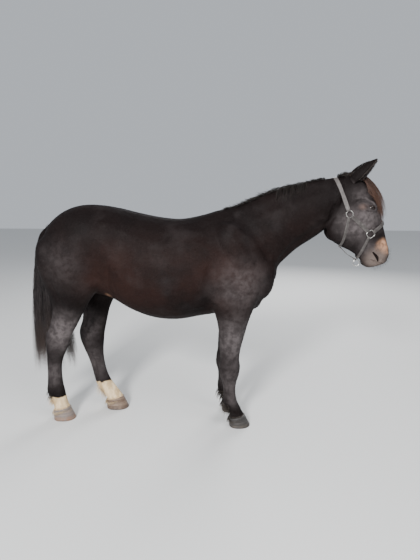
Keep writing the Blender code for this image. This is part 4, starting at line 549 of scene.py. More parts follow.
def through(rows, steps):
    """Rows of numbers on a smooth curve through the given rows."""
    rows = np.array(rows, float)
    ends = np.vstack([2 * rows[0] - rows[1], rows, 2 * rows[-1] - rows[-2]])
    made = []
    for i in range(1, len(ends) - 2):
        a, b, c, d = ends[i - 1 : i + 3]
        for t in np.arange(steps) / steps:
            made.append(
                0.5 * (2 * b + (c - a) * t + (2 * a - 5 * b + 4 * c - d) * t**2
                       + (3 * b - a - 3 * c + d) * t**3)
            )
    made.append(rows[-1])
    return np.array(made)


def row_at(rows, share):
    """The row a share of the way down a list of rows, between its neighbours."""
    place = min(max(share, 0.0), 0.9999) * (len(rows) - 1)
    low = int(place)
    return rows[low] + (rows[low + 1] - rows[low]) * (place - low)


# The forms

def section(station, sides):
    """The ring of points of one cross-section."""
    s = Station(*station)
    points = []
    for k in range(sides):
        turn = 2 * math.pi * k / sides
        across, along = math.cos(turn), math.sin(turn)
        power = 2.0 / (s.up_square if along >= 0 else s.low_square)
        side = math.copysign(abs(across) ** power, across) * s.half
        reach = (1 - s.widest) if along >= 0 else -s.widest
        height = s.widest + reach * abs(along) ** power
        points.append((
            s.low_x + (s.up_x - s.low_x) * height,
            s.y + side,
            s.low_z + (s.up_z - s.low_z) * height,
        ))
    return np.array(points)


def domed(ring, before, length):
    """Rings that close a loft with a rounded end."""
    middle = ring.mean(0)
    way = middle - before.mean(0)
    way /= np.linalg.norm(way)
    made = []
    for k in range(1, DOME_RINGS + 1):
        turn = math.pi / 2 * k / (DOME_RINGS + 0.6)
        made.append(middle + (ring - middle) * math.cos(turn) + way * length * math.sin(turn))
    return made


def lofted(name, stations, first_dome, last_dome=0.0, steps=STEPS_BETWEEN):
    """A closed form through stations, with rounded ends where they have a length."""
    rings = [section(row, RING_SIDES) for row in through(stations, steps)]
    rings = domed(rings[0], rings[1], first_dome)[::-1] + rings
    if last_dome:
        rings = rings + domed(rings[-1], rings[-2], last_dome)
    return skinned(name, rings)


def skinned(name, rings, round_trip=False):
    """A closed mesh over rings of equal count, capped flat or led back to its first ring."""
    sides, total = len(rings[0]), len(rings) * len(rings[0])
    faces = []
    for r in range(len(rings) - (not round_trip)):
        for k in range(sides):
            a, b = r * sides + k, r * sides + (k + 1) % sides
            faces.append((a, b, (b + sides) % total, (a + sides) % total))
    if not round_trip:
        faces += [range(sides)[::-1], range(total - sides, total)]
    return mesh_object(name, np.vstack(rings), faces)


def ball(name, centre, radii, pitch=0.0, detail=3):
    """An ellipsoid, tipped nose down by pitch degrees."""
    place = (
        Matrix.Translation(centre)
        @ Matrix.Rotation(math.radians(pitch), 4, "Y")
        @ Matrix.Diagonal((*radii, 1.0))
    )

    def grow(shape):
        bmesh.ops.create_icosphere(shape, subdivisions=detail, radius=1.0)
        bmesh.ops.transform(shape, matrix=place, verts=shape.verts)

    return reshaped(mesh_object(name, [], []), grow)


def mirrored(stations, side):
    """A leg's stations on the horse's right (-1) or left (1) side."""
    return [s._replace(y=side * s.y) for s in stations]


def swung_back(stations, distance, top):
    """A leg whose foot stands further back, and whose top stays."""
    made = []
    for s in stations:
        low = max(0.0, 1 - (s.up_z + s.low_z) / 2 / top)
        made.append(s._replace(up_x=s.up_x - distance * low, low_x=s.low_x - distance * low))
    return made


def legs():
    """The stations of each leg."""
    return {
        "fore_right": mirrored(FORELEG, -1),
        "fore_left": mirrored(swung_back(FORELEG, FORE_OFF_SET_BACK, FORE_SWING_TOP), 1),
        "hind_right": mirrored(HINDLEG_BACK, -1),
        "hind_left": mirrored(HINDLEG_FORWARD, 1),
    }


def merged(objects):
    """The points and faces of several meshes as one mesh's."""
    points, faces = [], []
    for obj in objects:
        base = len(points)
        points += [v.co.copy() for v in obj.data.vertices]
        faces += [[base + i for i in p.vertices] for p in obj.data.polygons]
    return points, faces


def surface_tree(objects):
    return BVHTree.FromPolygons(*merged(objects))


def flesh():
    """The whole horse's flesh as one smooth closed surface."""
    forms = {"torso": (TORSO, *TORSO_ENDS), "neck": (NECK, *NECK_ENDS), "head": (HEAD, *HEAD_ENDS)}
    forms.update((name, (stations, LEG_END)) for name, stations in legs().items())
    pieces = [lofted(name + "_form", *form) for name, form in forms.items()]
    for i, mass in enumerate(MASSES):
        for side, word in SIDES:
            pieces.append(ball(f"mass_{i}_{word}", mirror(mass.centre, side), mass.radii,
                               mass.pitch))
    body = mesh_object("body", *merged(pieces))
    for piece in pieces:
        bpy.data.objects.remove(piece, do_unlink=True)
    remesh = body.modifiers.new("fuse", "REMESH")
    remesh.mode = "VOXEL"
    remesh.voxel_size = SKIN_VOXEL
    settle(body)
    group = body.vertex_groups.new(name="soft")
    soft = np.rint(softness(points_of(body)) * SOFT_LEVELS)
    for level in range(1, SOFT_LEVELS + 1):
        group.add(np.flatnonzero(soft == level).tolist(), level / SOFT_LEVELS, "REPLACE")
    smooth = body.modifiers.new("soften", "SMOOTH")
    smooth.factor = 0.5
    smooth.iterations = round((SOFTENING / SKIN_VOXEL) ** 2)
    smooth.vertex_group = "soft"
    settle(body)
    body.vertex_groups.clear()
    press(body)
    return body


def ahead_of_cut(points):
    """How far each point lies ahead of the head's cut."""
    point, normal = HEAD_CUT
    return (points[:, 0] - point[0]) * normal[0] + (points[:, 2] - point[2]) * normal[2]


def softness(points):
    """How freely the surface relaxes: fully on the trunk, little on the legs and the head."""
    x, z = points[:, 0], points[:, 2]
    trunk = np.maximum(ramp(z, 0.74, 0.94), ramp(x, -0.66, -0.56) * (1 - ramp(x, 0.03, 0.11)))
    behind = 1 - ramp(ahead_of_cut(points), -0.06, 0.03)
    return np.clip(0.2 * behind + 0.8 * trunk * behind, 0.1, 1.0)


def cast_lines(tree, strokes):
    """Each stroke with its line laid on the surface, on both sides."""
    for stroke in strokes:
        for side, _ in SIDES:
            hits = [tree.ray_cast(Vector((x, side, z)), Vector((0, -side, 0)))[0]
                    for x, z in stroke.line]
            yield stroke, [hit for hit in hits if hit]


def relief(points, lines, start=0.0):
    """How far the strokes on their lines raise or press each point, added to start."""
    return sum((stroke.depth * fade(points, line, stroke.reach) for stroke, line in lines), start)


def press(body):
    """Presses and raises the strokes in the surface of the body."""
    tree = BVHTree.FromObject(body, bpy.context.evaluated_depsgraph_get())
    points, normals = points_of(body), normals_of(body)
    lines = [(s, [Vector(p) for p in s.line]) for s in MIDDLE_STROKES]
    lines += cast_lines(tree, STROKES)
    for name, stations in legs().items():
        for stroke in LEG_STROKES[name[:4]]:
            for face in (-1, 1):
                line = [leg_point(stations, share, height, face) for share, height in stroke.line]
                lines.append((stroke, [tree.find_nearest(p)[0] for p in line]))
    points += normals * relief(points, lines)[:, None]
    body.data.vertices.foreach_set("co", points.ravel())
    body.data.update()


def leg_point(stations, share, height, face):
    """A point on a leg's inner or outer face."""
    rows = through(stations, STEPS_BETWEEN)[::-1]
    middle = (rows[:, 1] + rows[:, 3]) / 2
    s = Station(*(np.interp(height, middle, rows[:, i]) for i in range(rows.shape[1])))
    out = math.sqrt(max(0.0, 1 - (2 * share - 1) ** 2))
    return Vector((s.low_x + share * (s.up_x - s.low_x), s.y + face * s.half * out, height))


def fade(points, line, reach):
    """1 on a line, falling softly to 0 at reach from it."""
    line = np.array([tuple(p) for p in line])
    near = np.all((points > line.min(0) - reach) & (points < line.max(0) + reach), axis=1)
    close = points[near]
    best = np.full(len(close), np.inf)
    for a, b in zip(line, line[1:] if len(line) > 1 else line):
        best = np.minimum(best, from_run(close, a, b)[1])
    strength = np.zeros(len(points))
    strength[near] = np.clip(1 - (best / reach) ** 2, 0, 1) ** 2
    return strength


def faceted(obj, triangles):
    """The mesh thinned out to about so many triangles."""
    thin = obj.modifiers.new("facet", "DECIMATE")
    thin.ratio = triangles / (2 * len(obj.data.polygons))
    return settle(obj)


def copied(obj, name):
    return linked(name, obj.data.copy())


def chunk(body, name, side, past):
    """The closed part of the body behind (1) or ahead of (-1) the head's cut, and past it."""
    point, normal = Vector(HEAD_CUT[0]), side * Vector(HEAD_CUT[1]).normalized()

    def part(shape):
        bmesh.ops.bisect_plane(shape, geom=shape.verts[:] + shape.edges[:] + shape.faces[:],
                               plane_co=point + normal * past, plane_no=normal,
                               clear_outer=True)
        rim = [e for e in shape.edges if len(e.link_faces) == 1]
        bmesh.ops.edgeloop_fill(shape, edges=rim)
        bmesh.ops.triangulate(shape, faces=[f for f in shape.faces if len(f.verts) > 4])
        bmesh.ops.recalc_face_normals(shape, faces=shape.faces)

    return reshaped(copied(body, name), part)


# The fine forms of the skin

def refined(obj, grow):
    """Splits the edges round the eyes, the nostrils and the mouth."""
    mask = near_face(points_of(obj), grow)

    def split(shape):
        shape.verts.ensure_lookup_table()
        edges = [e for e in shape.edges if mask[e.verts[0].index] and mask[e.verts[1].index]]
        bmesh.ops.subdivide_edges(shape, edges=edges, cuts=1, use_grid_fill=True, smooth=0.2)

    reshaped(obj, split)


def near_face(points, grow):
    """Round the eyes, the nostrils and the mouth."""
    x, y, z = points[:, 0], np.abs(points[:, 1]), points[:, 2]
    eye = np.linalg.norm(np.stack([x, y, z], 1) - np.array(EYE), axis=1) < 0.034 + grow
    nostril = np.hypot(x - NOSTRIL[2][0], z - NOSTRIL[2][1]) < 0.032 + grow
    mouth = (x > MOUTH[0][0] - 0.004) & (np.abs(z - np.interp(x, *zip(*MOUTH))) < 0.008 + grow)
    return eye | (nostril & (y > 0.02)) | mouth


def eye_frame(side):
    """The middle of an eye, the way out, the way from corner to corner and the way up."""
    flip = (1, side, 1)
    out = np.array(EYE_OUT) * flip
    out /= np.linalg.norm(out)
    long_way = np.array(EYE_LONG_WAY)
    long_way -= out * (long_way @ out)
    long_way /= np.linalg.norm(long_way)
    return np.array(EYE) * flip, out, long_way, np.cross(out, long_way) * -side


def lid_edges(u):
    """How high the edges of the upper and the lower lid lie at u along an eye."""
    arch = np.clip(1 - (u / (LID_LENGTH / 2)) ** 2, 0, 1)
    return LID_OPEN * LID_RISE * arch**0.75 + 0.0010, -LID_OPEN * LID_DROP * arch**0.9


def shape_eyes(points):
    """Lids that wrap the eyeballs and part in an almond, with folds; gives painted shade inside
    their openings and their dark lid rims.
    """
    right = points * (1, -1, 1)
    right[:, 1] = -np.abs(points[:, 1])
    middle, out, long_way, up = eye_frame(-1)
    off = right - middle
    u, v, w = off @ long_way, off @ up, off @ out
    flat = np.hypot(u, v)
    near = (w > 0) & (flat < 0.040)
    u, v, flat, off = u[near], v[near], flat[near], off[near]
    radius = np.linalg.norm(off, axis=1)
    half = LID_LENGTH / 2
    upper, lower = lid_edges(u)
    over = np.maximum(v - upper, lower - v)  # outside the opening by this much
    over = np.maximum(over, (np.abs(u) - half) * 0.8)
    lid = EYE_RADIUS + LID_THICK + 0.0010 * np.exp(-((over - 0.0016) / 0.0016) ** 2)
    lid = lid + 0.0016 * np.exp(-((v - upper - 0.0085) / 0.0038) ** 2) * (np.abs(u) < half)
    for above, depth in UPPER_FOLDS:
        fold = np.exp(-((v - upper * 0.8 - above) / 0.0011) ** 2) * (1 - (u / 0.026) ** 2)
        lid = lid - depth * np.clip(fold, 0, 1)
    for below, depth in LOWER_FOLDS:
        fold = np.exp(-((lower * 0.8 - below - v) / 0.0012) ** 2) * (1 - (u / 0.024) ** 2)
        lid = lid - depth * np.clip(fold, 0, 1)
    hold = 1 - ramp(flat, 0.016, 0.034)
    wanted = radius * (1 - hold) + lid * hold
    inside = 1 - ramp(over, -0.0009, 0.0004)
    wanted = wanted * (1 - inside) + (EYE_RADIUS - 0.0035) * inside
    moved = middle + off / radius[:, None] * wanted[:, None]
    moved[:, 1] *= -np.sign(points[near, 1])
    points[near] = moved
    # Painted shade inside each opening, and the dark rim of the lids
    dark = np.zeros(len(points))
    dark[near] = np.maximum(inside, 0.9 * np.exp(-((over - 0.0006) / 0.0018) ** 2))
    return dark


def shape_nostrils(points):
    """Comma-shaped hollows that lead in and up; gives how deep each point lies in them."""
    line, flat = through(NOSTRIL, 4), points[:, [0, 2]]
    best = np.full(len(points), 9.0)
    for a, b in zip(line, line[1:]):
        share, gone = from_run(flat, a[:2], b[:2])
        best = np.minimum(best, gone / (a[2] + share * (b[2] - a[2])))
    side = np.sign(points[:, 1])
    outer = np.abs(points[:, 1]) > 0.030
    deep = (1 - ramp(best, 0.62, 1.10)) * outer * NOSTRIL_DEPTH
    rim = np.exp(-((best - 1.35) / 0.25) ** 2) * outer * NOSTRIL_RIM
    way = np.stack([0.20 * np.ones_like(side), side, -0.20 * np.ones_like(side)], 1)
    way /= np.linalg.norm(way, axis=1)[:, None]
    points += way * (rim - deep)[:, None]
    return deep / NOSTRIL_DEPTH


def eased(obj, points, share, rounds):
    """Evens out the points of a mesh, by a share of each point's way to its neighbours."""
    edges = np.empty(len(obj.data.edges) * 2, np.int32)
    obj.data.edges.foreach_get("vertices", edges)
    a, b = edges.reshape(-1, 2).T
    count = np.bincount(edges, minlength=len(points))
    for _ in range(rounds):
        for axis in range(3):
            values = points[:, axis]
            total = (np.bincount(a, values[b], len(points))
                     + np.bincount(b, values[a], len(points)))
            points[:, axis] += share * 0.6 * (total / count - values)


def skin_of_body():
    """The whole skin: the trunk and legs thinned out, the head kept fine."""
    body = flesh()
    head = chunk(body, "skin_head", -1, HEAD_PAST)
    trunk = chunk(body, "skin_trunk", 1, TRUNK_PAST)
    bpy.data.objects.remove(body, do_unlink=True)
    faceted(trunk, BODY_TRIANGLES)
    finer = head.modifiers.new("finer", "SUBSURF")
    finer.levels = finer.render_levels = 1
    settle(head)
    for grow in FACE_GROWS:
        refined(head, grow)
    tree = surface_tree([head])
    points, normals = points_of(head), normals_of(head)
    path = [tree.ray_cast(Vector((x, -1, z)), Vector((0, 1, 0)))[0] for x, z in MOUTH]
    path += [tree.ray_cast(Vector((2, -y, z)), Vector((-1, 0, 0)))[0] for y, z in MOUTH_FRONT]
    path += [mirror(p, -1) for p in path[::-1]]
    lines = [(MOUTH_GROOVE, path), (LIP_SWELL, path), *cast_lines(tree, BROW + FACE_VEINS)]
    points += normals * (relief(points, lines) - COAT_DEPTH)[:, None]
    eye_shade_and_rims = shape_eyes(points)
    # Painted shade, darker the deeper a point lies in a nostril or inside an eye opening, and the
    # dark lid rims
    put(head, "painted_shade_and_lid_rims", np.maximum(eye_shade_and_rims, shape_nostrils(points)))
    head.data.vertices.foreach_set("co", points.ravel())
    faceted(head, HEAD_TRIANGLES)
    points, normals = points_of(trunk), normals_of(trunk)
    lines = cast_lines(surface_tree([trunk]), BODY_VEINS)
    points += normals * relief(points, lines, -COAT_DEPTH)[:, None]
    croup = ramp(-points[:, 0], 0.62, 0.80) * ramp(points[:, 2], 1.02, 1.16)
    eased(trunk, points, croup, EASE_ROUNDS)
    trunk.data.vertices.foreach_set("co", points.ravel())
    put(trunk, "painted_shade_and_lid_rims", np.zeros(len(points)))
    return head, trunk


# The map and the marks

def inset(share):
    """A share of the OFBake map's width, kept inside a margin."""
    return 0.02 + 0.96 * share


def unwrap(points):
    """Each point's place on a flat unwrap of the skin: the trunk, neck and head over the legs."""
    flat, y = points[:, [0, 2]], points[:, 1]
    best, spot, off = np.full(len(points), 9.0), np.zeros(len(points)), np.zeros(len(points))
    gone = 0.0
    for a, b in zip(np.array(AXIS), np.array(AXIS[1:])):
        run, length = b - a, math.dist(a, b)
        share, far = from_run(flat, a, b)
        close = far < best
        best[close] = far[close]
        spot[close] = (gone + share * length)[close]
        apart = flat[close] - a
        off[close] = (apart[:, 1] * run[0] - apart[:, 0] * run[1]) / length
        gone += length
    place = np.empty((len(points), 2))
    place[:, 0] = inset(spot / gone)
    place[:, 1] = 0.42 + 0.44 * (np.arctan2(y, off) / (2 * math.pi) + 0.5)
    leg, fore = points[:, 2] < LEG_TOP, points[:, 0] > -0.2
    column = 2 * fore + (y > 0)
    middle_x = np.where(fore, 0.20, np.where(y > 0, -0.80, -1.02))
    turn = np.arctan2(y - np.sign(y) * LEG_Y, points[:, 0] - middle_x) / (2 * math.pi) + 0.5
    place[leg, 0] = (0.02 + 0.24 * column + 0.22 * turn)[leg]
    place[leg, 1] = (0.02 + 0.38 * np.clip(points[:, 2] / LEG_TOP, 0, 1))[leg]
    return place


def blob(points, x, z, reach):
    """1 at a place seen from the side, falling to 0 at reach."""
    return np.clip(1 - np.hypot(points[:, 0] - x, points[:, 2] - z) / reach, 0, 1)


def streak(points, line, reach):
    """1 along a line seen from the side, falling softly to 0 at reach."""
    line, flat = np.array(line), points[:, [0, 2]]
    best = np.min([from_run(flat, a, b)[1] for a, b in zip(line, line[1:])], axis=0)
    return 1 - ramp(best, 0, reach)


def marks(points):
    """How far each point lies under its sock's edge, and how tan, red and bare it is."""
    x, y, z = points.T
    edge = np.where(y > 0, SOCK_LEFT, SOCK_RIGHT)
    side = 0.6 + 0.4 * ramp(np.abs(y), 0.01, 0.05)
    tan = ramp(blob(points, *MUZZLE_TAN), 0.02, 0.85) * side
    pink_x, pink_z, pink_reach = PINK_PATCH
    pink = blob(points * (1, 1, PINK_STRETCH), pink_x, pink_z * PINK_STRETCH, pink_reach)
    # Greyish dust, and painted sheen where the coat would catch the light
    bloom = sum(part * ramp(blob(points, *place), 0.0, 1.0) for part, place in GREY_AND_SHEEN_PLACES)
    return {
        "sock": np.where(x < SOCKS_BEHIND, edge - z, -0.2),
        "tan": np.maximum(tan, 0.45 * ramp(blob(points, *FLANK_TAN), 0.0, 0.9)),
        "pink": 0.8 * ramp(pink, 0.0, 1.0),
        "bare": ramp(blob(points, *BARE_LIP), 0.05, 0.80),
        # A painted highlight along the brow ridge over each eye
        "bloom": bloom + 0.3 * streak(points, BROW[0].line, 0.012) * (x > 0.95),
        "red": np.clip(sum(part * blob(points, *place) for part, place in RED), 0, 1),
        "leg": 1 - ramp(z, 0.62, 0.85),
    }


def put(obj, name, values):
    layer = obj.data.attributes.new(name, "FLOAT", "POINT")
    layer.data.foreach_set("value", np.asarray(values, np.float32))


def put_marks(obj, roots, **more):
    """Stores the marks at each root on the points that grow from it."""
    each = len(obj.data.vertices) // len(roots)
    for key, values in {**marks(roots), **more}.items():
        put(obj, key, np.repeat(values, each))


def smooth_shaded(obj):
    obj.data.polygons.foreach_set("use_smooth", np.ones(len(obj.data.polygons), bool))
    obj.data.update()
    return obj


def put_map(obj, places):
    """The OFBake map from a place for each vertex."""
    loops = np.empty(len(obj.data.loops), np.int32)
    obj.data.loops.foreach_get("vertex_index", loops)
    layer = obj.data.uv_layers.new(name="OFBake")
    layer.data.foreach_set("uv", np.asarray(places, np.float32)[loops].ravel())


def placed(obj, *nodes):
    """Moves a piece from the modelling frame to the solids' and fixes it to the one body."""
    points = points_of(obj)
    points[:, 0] += SHIFT
    obj.data.vertices.foreach_set("co", points.ravel())
    obj.data.update()
    smooth_shaded(obj)
    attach(obj, "root")
    if nodes:
        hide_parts(*nodes)


def dressed(obj, look, slot, *nodes):
    """Gives a piece its material, its place and the nodes it stands for; slot is not used."""
    obj.data.materials.clear()
    obj.data.materials.append(look)
    placed(obj, *nodes)


# Short fur

def woven(name, points, quads, tris):
    """A mesh object from arrays."""
    mesh = bpy.data.meshes.new(name)
    mesh.vertices.add(len(points))
    mesh.vertices.foreach_set("co", np.asarray(points, np.float32).ravel())
    loops = np.concatenate([quads.ravel(), tris.ravel()]).astype(np.int32)
    mesh.loops.add(len(loops))
    mesh.loops.foreach_set("vertex_index", loops)
    starts = np.concatenate([np.arange(len(quads)) * 4,
                             len(quads) * 4 + np.arange(len(tris)) * 3]).astype(np.int32)
    mesh.polygons.add(len(starts))
    mesh.polygons.foreach_set("loop_start", starts)
    mesh.update(calc_edges=True)
    obj = bpy.data.objects.new(name, mesh)
    bpy.context.scene.collection.objects.link(obj)
    return obj


def strands(name, paths, outs, widths, root_places, shade, flat=0.45, root=0.55):
    """Tapered three-sided strands along paths: one mesh, with each strand's patch and shade."""
    count, steps = paths.shape[:2]
    rings = steps - 1
    along = unit(np.gradient(paths, axis=1))
    side = unit(np.cross(along, outs))
    out = np.cross(side, along)
    t = np.arange(rings) / rings
    size = (root + (1 - root) * np.sin(np.pi * np.minimum(1, t * 1.4))) * (1 - t**2.2)
    half = (widths[:, None] / 2 * size)[..., None]
    corners = [paths[:, :-1] + side[:, :-1] * half * math.cos(turn)
               + out[:, :-1] * half * flat * math.sin(turn)
               for turn in np.radians((90, 210, 330))]
    ring_points = np.stack(corners, 2).reshape(count, rings * 3, 3)
    points = np.concatenate([ring_points, paths[:, -1:]], 1)
    quads, tris = [], [(0, 1, 2)]
    for i in range(rings - 1):
        for k in range(3):
            a, b = 3 * i + k, 3 * i + (k + 1) % 3
            quads.append((a, a + 3, b + 3, b))
    last = 3 * (rings - 1)
    tris += [(last + (k + 1) % 3, last + k, last + 3) for k in range(3)]
    base = (np.arange(count) * points.shape[1])[:, None, None]
    quads = (np.array(quads, np.int64).reshape(-1, 4) + base).reshape(-1, 4)
    tris = (np.array(tris) + base).reshape(-1, 3)
    obj = woven(name, points.reshape(-1, 3), quads, tris)
    down = np.concatenate([np.repeat(t, 3), [1.0]])
    across = np.concatenate([np.tile((0.0, 0.5, 1.0), rings), [0.5]])
    patch = np.stack([across, down], 1) * PATCH
    put_map(obj, (root_places[:, None] + patch[None]).reshape(-1, 2))
    put(obj, "down", np.tile(down, count))
    put(obj, "shade", np.repeat(shade, points.shape[1]))
    put(obj, "root_height", np.repeat(paths[:, 0, 2], points.shape[1]))
    return obj


def open_skin(points):
    """0 inside the eyes' openings and the nostrils, where no fur grows."""
    side = np.stack([points[:, 0], np.abs(points[:, 1]), points[:, 2]], 1)
    eye = np.linalg.norm(side - np.array(EYE), axis=1) < EYE_RADIUS + 0.0004
    flat = points[:, [0, 2]]
    best = np.full(len(points), 9.0)
    for (x, z, _), (x2, z2, _) in zip(NOSTRIL, NOSTRIL[1:]):
        best = np.minimum(best, np.hypot(flat[:, 0] - (x + x2) / 2, flat[:, 1] - (z + z2) / 2))
    return ~eye & (best > 0.0105)


def scattered(obj, spacing, keep, rng):
    """Roots spread over a mesh at about one per spacing squared, with their normals."""
    mesh = obj.data
    mesh.calc_loop_triangles()
    corners = np.empty(len(mesh.loop_triangles) * 3, np.int32)
    mesh.loop_triangles.foreach_get("vertices", corners)
    corners = corners.reshape(-1, 3)
    points, normals = points_of(obj), normals_of(obj)
    a, b, c = (points[corners[:, i]] for i in range(3))
    area = np.linalg.norm(np.cross(b - a, c - a), axis=1) / 2
    area *= keep((a + b + c) / 3)
    count = int(area.sum() / spacing**2)
    chosen = np.searchsorted(np.cumsum(area), (np.arange(count) + rng.uniform(size=count))
                             / count * area.sum()).clip(0, len(area) - 1)
    u, v = rng.uniform(size=(2, count))
    fold = u + v > 1
    u[fold], v[fold] = 1 - u[fold], 1 - v[fold]
    w = 1 - u - v
    mix = [w[:, None], u[:, None], v[:, None]]
    roots = sum(m * points[corners[chosen, i]] for i, m in enumerate(mix))
    ups = unit(sum(m * normals[corners[chosen, i]] for i, m in enumerate(mix)))
    return roots, ups


def flow(points):
    """The way the fur lies: down the face to the muzzle, back over the trunk, down the legs."""
    x, y, z = points.T
    face = ramp(ahead_of_cut(points), -0.02, 0.03)
    neck = ramp(x, 0.25, 0.45) * (1 - face)
    leg = 1 - ramp(z, 0.70, 0.90)
    way = np.stack([-0.85 * np.ones_like(x), 0.10 * np.sign(y), -0.50 * np.ones_like(x)], 1)
    for share, there in ((face, FACE_FLOW), (neck, NECK_FLOW), (leg, LEG_FLOW)):
        way = way * (1 - share)[:, None] + share[:, None] * np.array(there)
    return way


def coat_piece(name, source, fur, keep, seed):
    """Short tufts of fur that lie along the flow and stand a little off the skin."""
    rng = np.random.default_rng(seed)
    spacing, length = fur
    roots, ups = scattered(source, spacing, keep, rng)
    way = flow(roots) + rng.normal(0, 0.13, roots.shape)
    way = unit(way - ups * np.sum(way * ups, 1, keepdims=True))
    long = length * rng.uniform(0.7, 1.3, len(roots))[:, None]
    rise = rng.uniform(0.06, 0.20, len(roots))[:, None]
    tip = roots + way * long + ups * long * rise * 0.75
    paths = np.stack([roots - ups * 0.0006, tip], 1)
    widths = length * TUFT_WIDTH * rng.uniform(0.7, 1.2, len(roots))
    obj = strands(name, paths, np.repeat(ups[:, None], 2, 1), widths, unwrap(roots),
                  rng.uniform(size=len(roots)), flat=0.35, root=0.9)
    put_marks(obj, roots)
    return shaded_as(obj, ups, rng)


def shaded_as(obj, ups, rng):
    """Tufts that catch the light much as the skin under each root does."""
    smooth_shaded(obj)
    corners = len(obj.data.vertices) // len(ups)
    ups = unit(ups + rng.normal(0, 0.45, ups.shape))
    obj.data.normals_split_custom_set_from_vertices(np.repeat(ups, corners, axis=0))
    return obj


# Long hair

def hairs(name, roots, ways, bends, lengths, places, width, rng, steps=5):
    """Single hairs that start along ways and curve over towards bends."""
    roots, ways, bends = (np.array([tuple(p) for p in rows]) for rows in (roots, ways, bends))
    t = np.linspace(0, 1, steps)[None, :, None]
    reach = np.asarray(lengths)[:, None, None]
    paths = roots[:, None] + (unit(ways)[:, None] * t + bends[:, None] * t * t) * reach
    outs = np.repeat(unit(np.cross(ways, (0.31, 0.52, 0.80)))[:, None], steps, 1)
    widths = width * rng.uniform(0.7, 1.3, len(roots))
    return strands(name, paths, outs, widths, np.asarray(places, float),
                   rng.uniform(size=len(roots)), flat=0.7)


def kept_off(tree, point, clearance):
    hit, normal = tree.find_nearest(point)[:2]
    return point + normal * max(0.0, clearance - (point - hit).dot(normal))


def draped(tree, start, first_way, length, clearance, pull, bend):
    """A path that leaves the skin, bends towards pull and then stays off the surface."""
    way, pull = Vector(first_way).normalized(), Vector(pull).normalized()
    path = [Vector(start)]
    for i in range(DRAPE_STEPS):
        way = way.lerp(pull, bend).normalized()
        p = path[-1] + way * (length / DRAPE_STEPS)
        if i >= FREE_STEPS:
            p = kept_off(tree, p, clearance)
            way = (p - path[-1]).normalized()
        path.append(p)
    return path


def bundle(name, tree, hair, guides, places, seed):
    """Strands round guide paths: apart at the root, drawn together and uneven at the tips."""
    rng = np.random.default_rng(seed)
    guides = np.array([[tuple(p) for p in g] for g in guides])
    count, fine = len(guides) * hair.strands, guides.shape[1]
    which = np.repeat(np.arange(len(guides)), hair.strands)
    along = unit(np.gradient(guides, axis=1))
    outs = np.array([[tuple(tree.find_nearest(Vector(p))[1]) for p in g[:: max(1, fine // 6)]]
                     for g in guides])
    pick = np.linspace(0, outs.shape[1] - 1, fine).round().astype(int)
    outs = unit(outs[:, pick])
    side = unit(np.cross(along, outs))
    outs = np.cross(side, along)
    reach = rng.uniform(*hair.ends, count)
    t = np.linspace(0, 1, hair.steps)
    where = t[None] * reach[:, None] * (fine - 1)
    low = np.clip(where.astype(int), 0, fine - 2)
    part = (where - low)[..., None]
    rows = which[:, None]
    middle = guides[rows, low] * (1 - part) + guides[rows, low + 1] * part
    out_at, side_at = outs[rows, low], side[rows, low]
    turn, far = rng.uniform(0, 2 * math.pi, count), np.sqrt(rng.uniform(size=count))
    hold = (1 - (1 - hair.clump) * np.sin(np.pi / 2 * t)) * np.minimum(1, 0.5 + 3 * t)
    off_side = (np.cos(turn) * far)[:, None] * hold * hair.spread
    off_out = (np.sin(turn) * far)[:, None] * hold * hair.spread * 0.45
    waves = rng.uniform(0, 2 * math.pi, (2, count))[..., None]
    often = rng.uniform(1.0, 2.6, count)[:, None]
    off_side = off_side + hair.wild * t * np.sin(often * 2 * math.pi * t + waves[0])
    off_out = off_out + 0.5 * hair.wild * t * np.sin(often * 2 * math.pi * t + waves[1])
    paths = middle + side_at * off_side[..., None] + out_at * off_out[..., None]
    widths = hair.width * rng.uniform(0.6, 1.3, count)
    jitter = rng.uniform(-0.006, 0.006, (count, 2))
    return strands(name, paths, out_at, widths, np.array(places)[which] + jitter,
                   rng.uniform(size=count), flat=0.6)


def crest(tree, x, y):
    """A root a little under the skin on the top line."""
    return tree.ray_cast(Vector((x, y, 2.5)), Vector((0, 0, -1)))[0] - Vector((0, 0, 0.004))


def mane(tree):
    """Short hair along the crest: most falls to the left, some to the right."""
    rng = np.random.default_rng(21)
    guides, places = [], []
    for k in range(MANE.guides):
        share = (k + rng.uniform(-0.4, 0.4)) / (MANE.guides - 1)
        x = MANE_FROM + (MANE_TO - MANE_FROM) * min(max(share, 0), 1)
        side = -1 if k % 5 in (1, 3) else 1
        fullness = 0.40 + 0.60 * math.sin(math.pi * min(1.0, share * 1.15)) ** 0.6
        y = side * rng.uniform(0.0, 0.012)
        if side > 0:
            lock = LEFT_LOCK
        elif RIGHT_FROM < x < RIGHT_TO and rng.uniform() < RIGHT_SHARE:
            lock, fullness = RIGHT_LOCK, 1.0
        else:
            lock = SHORT_LOCK
        length = lock.length * fullness * rng.uniform(lock.shortest, lock.longest)
        first = [c + rng.normal(0, 0.16) for c in lock.first]
        guides.append(draped(tree, crest(tree, x, y), first, length, rng.uniform(0.002, 0.008),
                             lock.pull, lock.bend))
        places.append((inset(share), 0.90 + 0.08 * (side > 0)))
    for _ in range(POLL_GUIDES):
        x, y = rng.uniform(*POLL_X), rng.uniform(*POLL_Y)
        first = (rng.uniform(0.1, 0.8), 10 * y + rng.normal(0, 0.2), 0.8)
        pull = (rng.uniform(0.2, 1.0), 30 * y, -0.7)
        guides.append(draped(tree, crest(tree, x, y), first, rng.uniform(0.050, 0.090),
                             rng.uniform(0.004, 0.016), pull, 0.16))
        places.append((0.97, 0.90 + 0.4 * y))
    return bundle("mane_hair", tree, MANE, guides, places, 22)


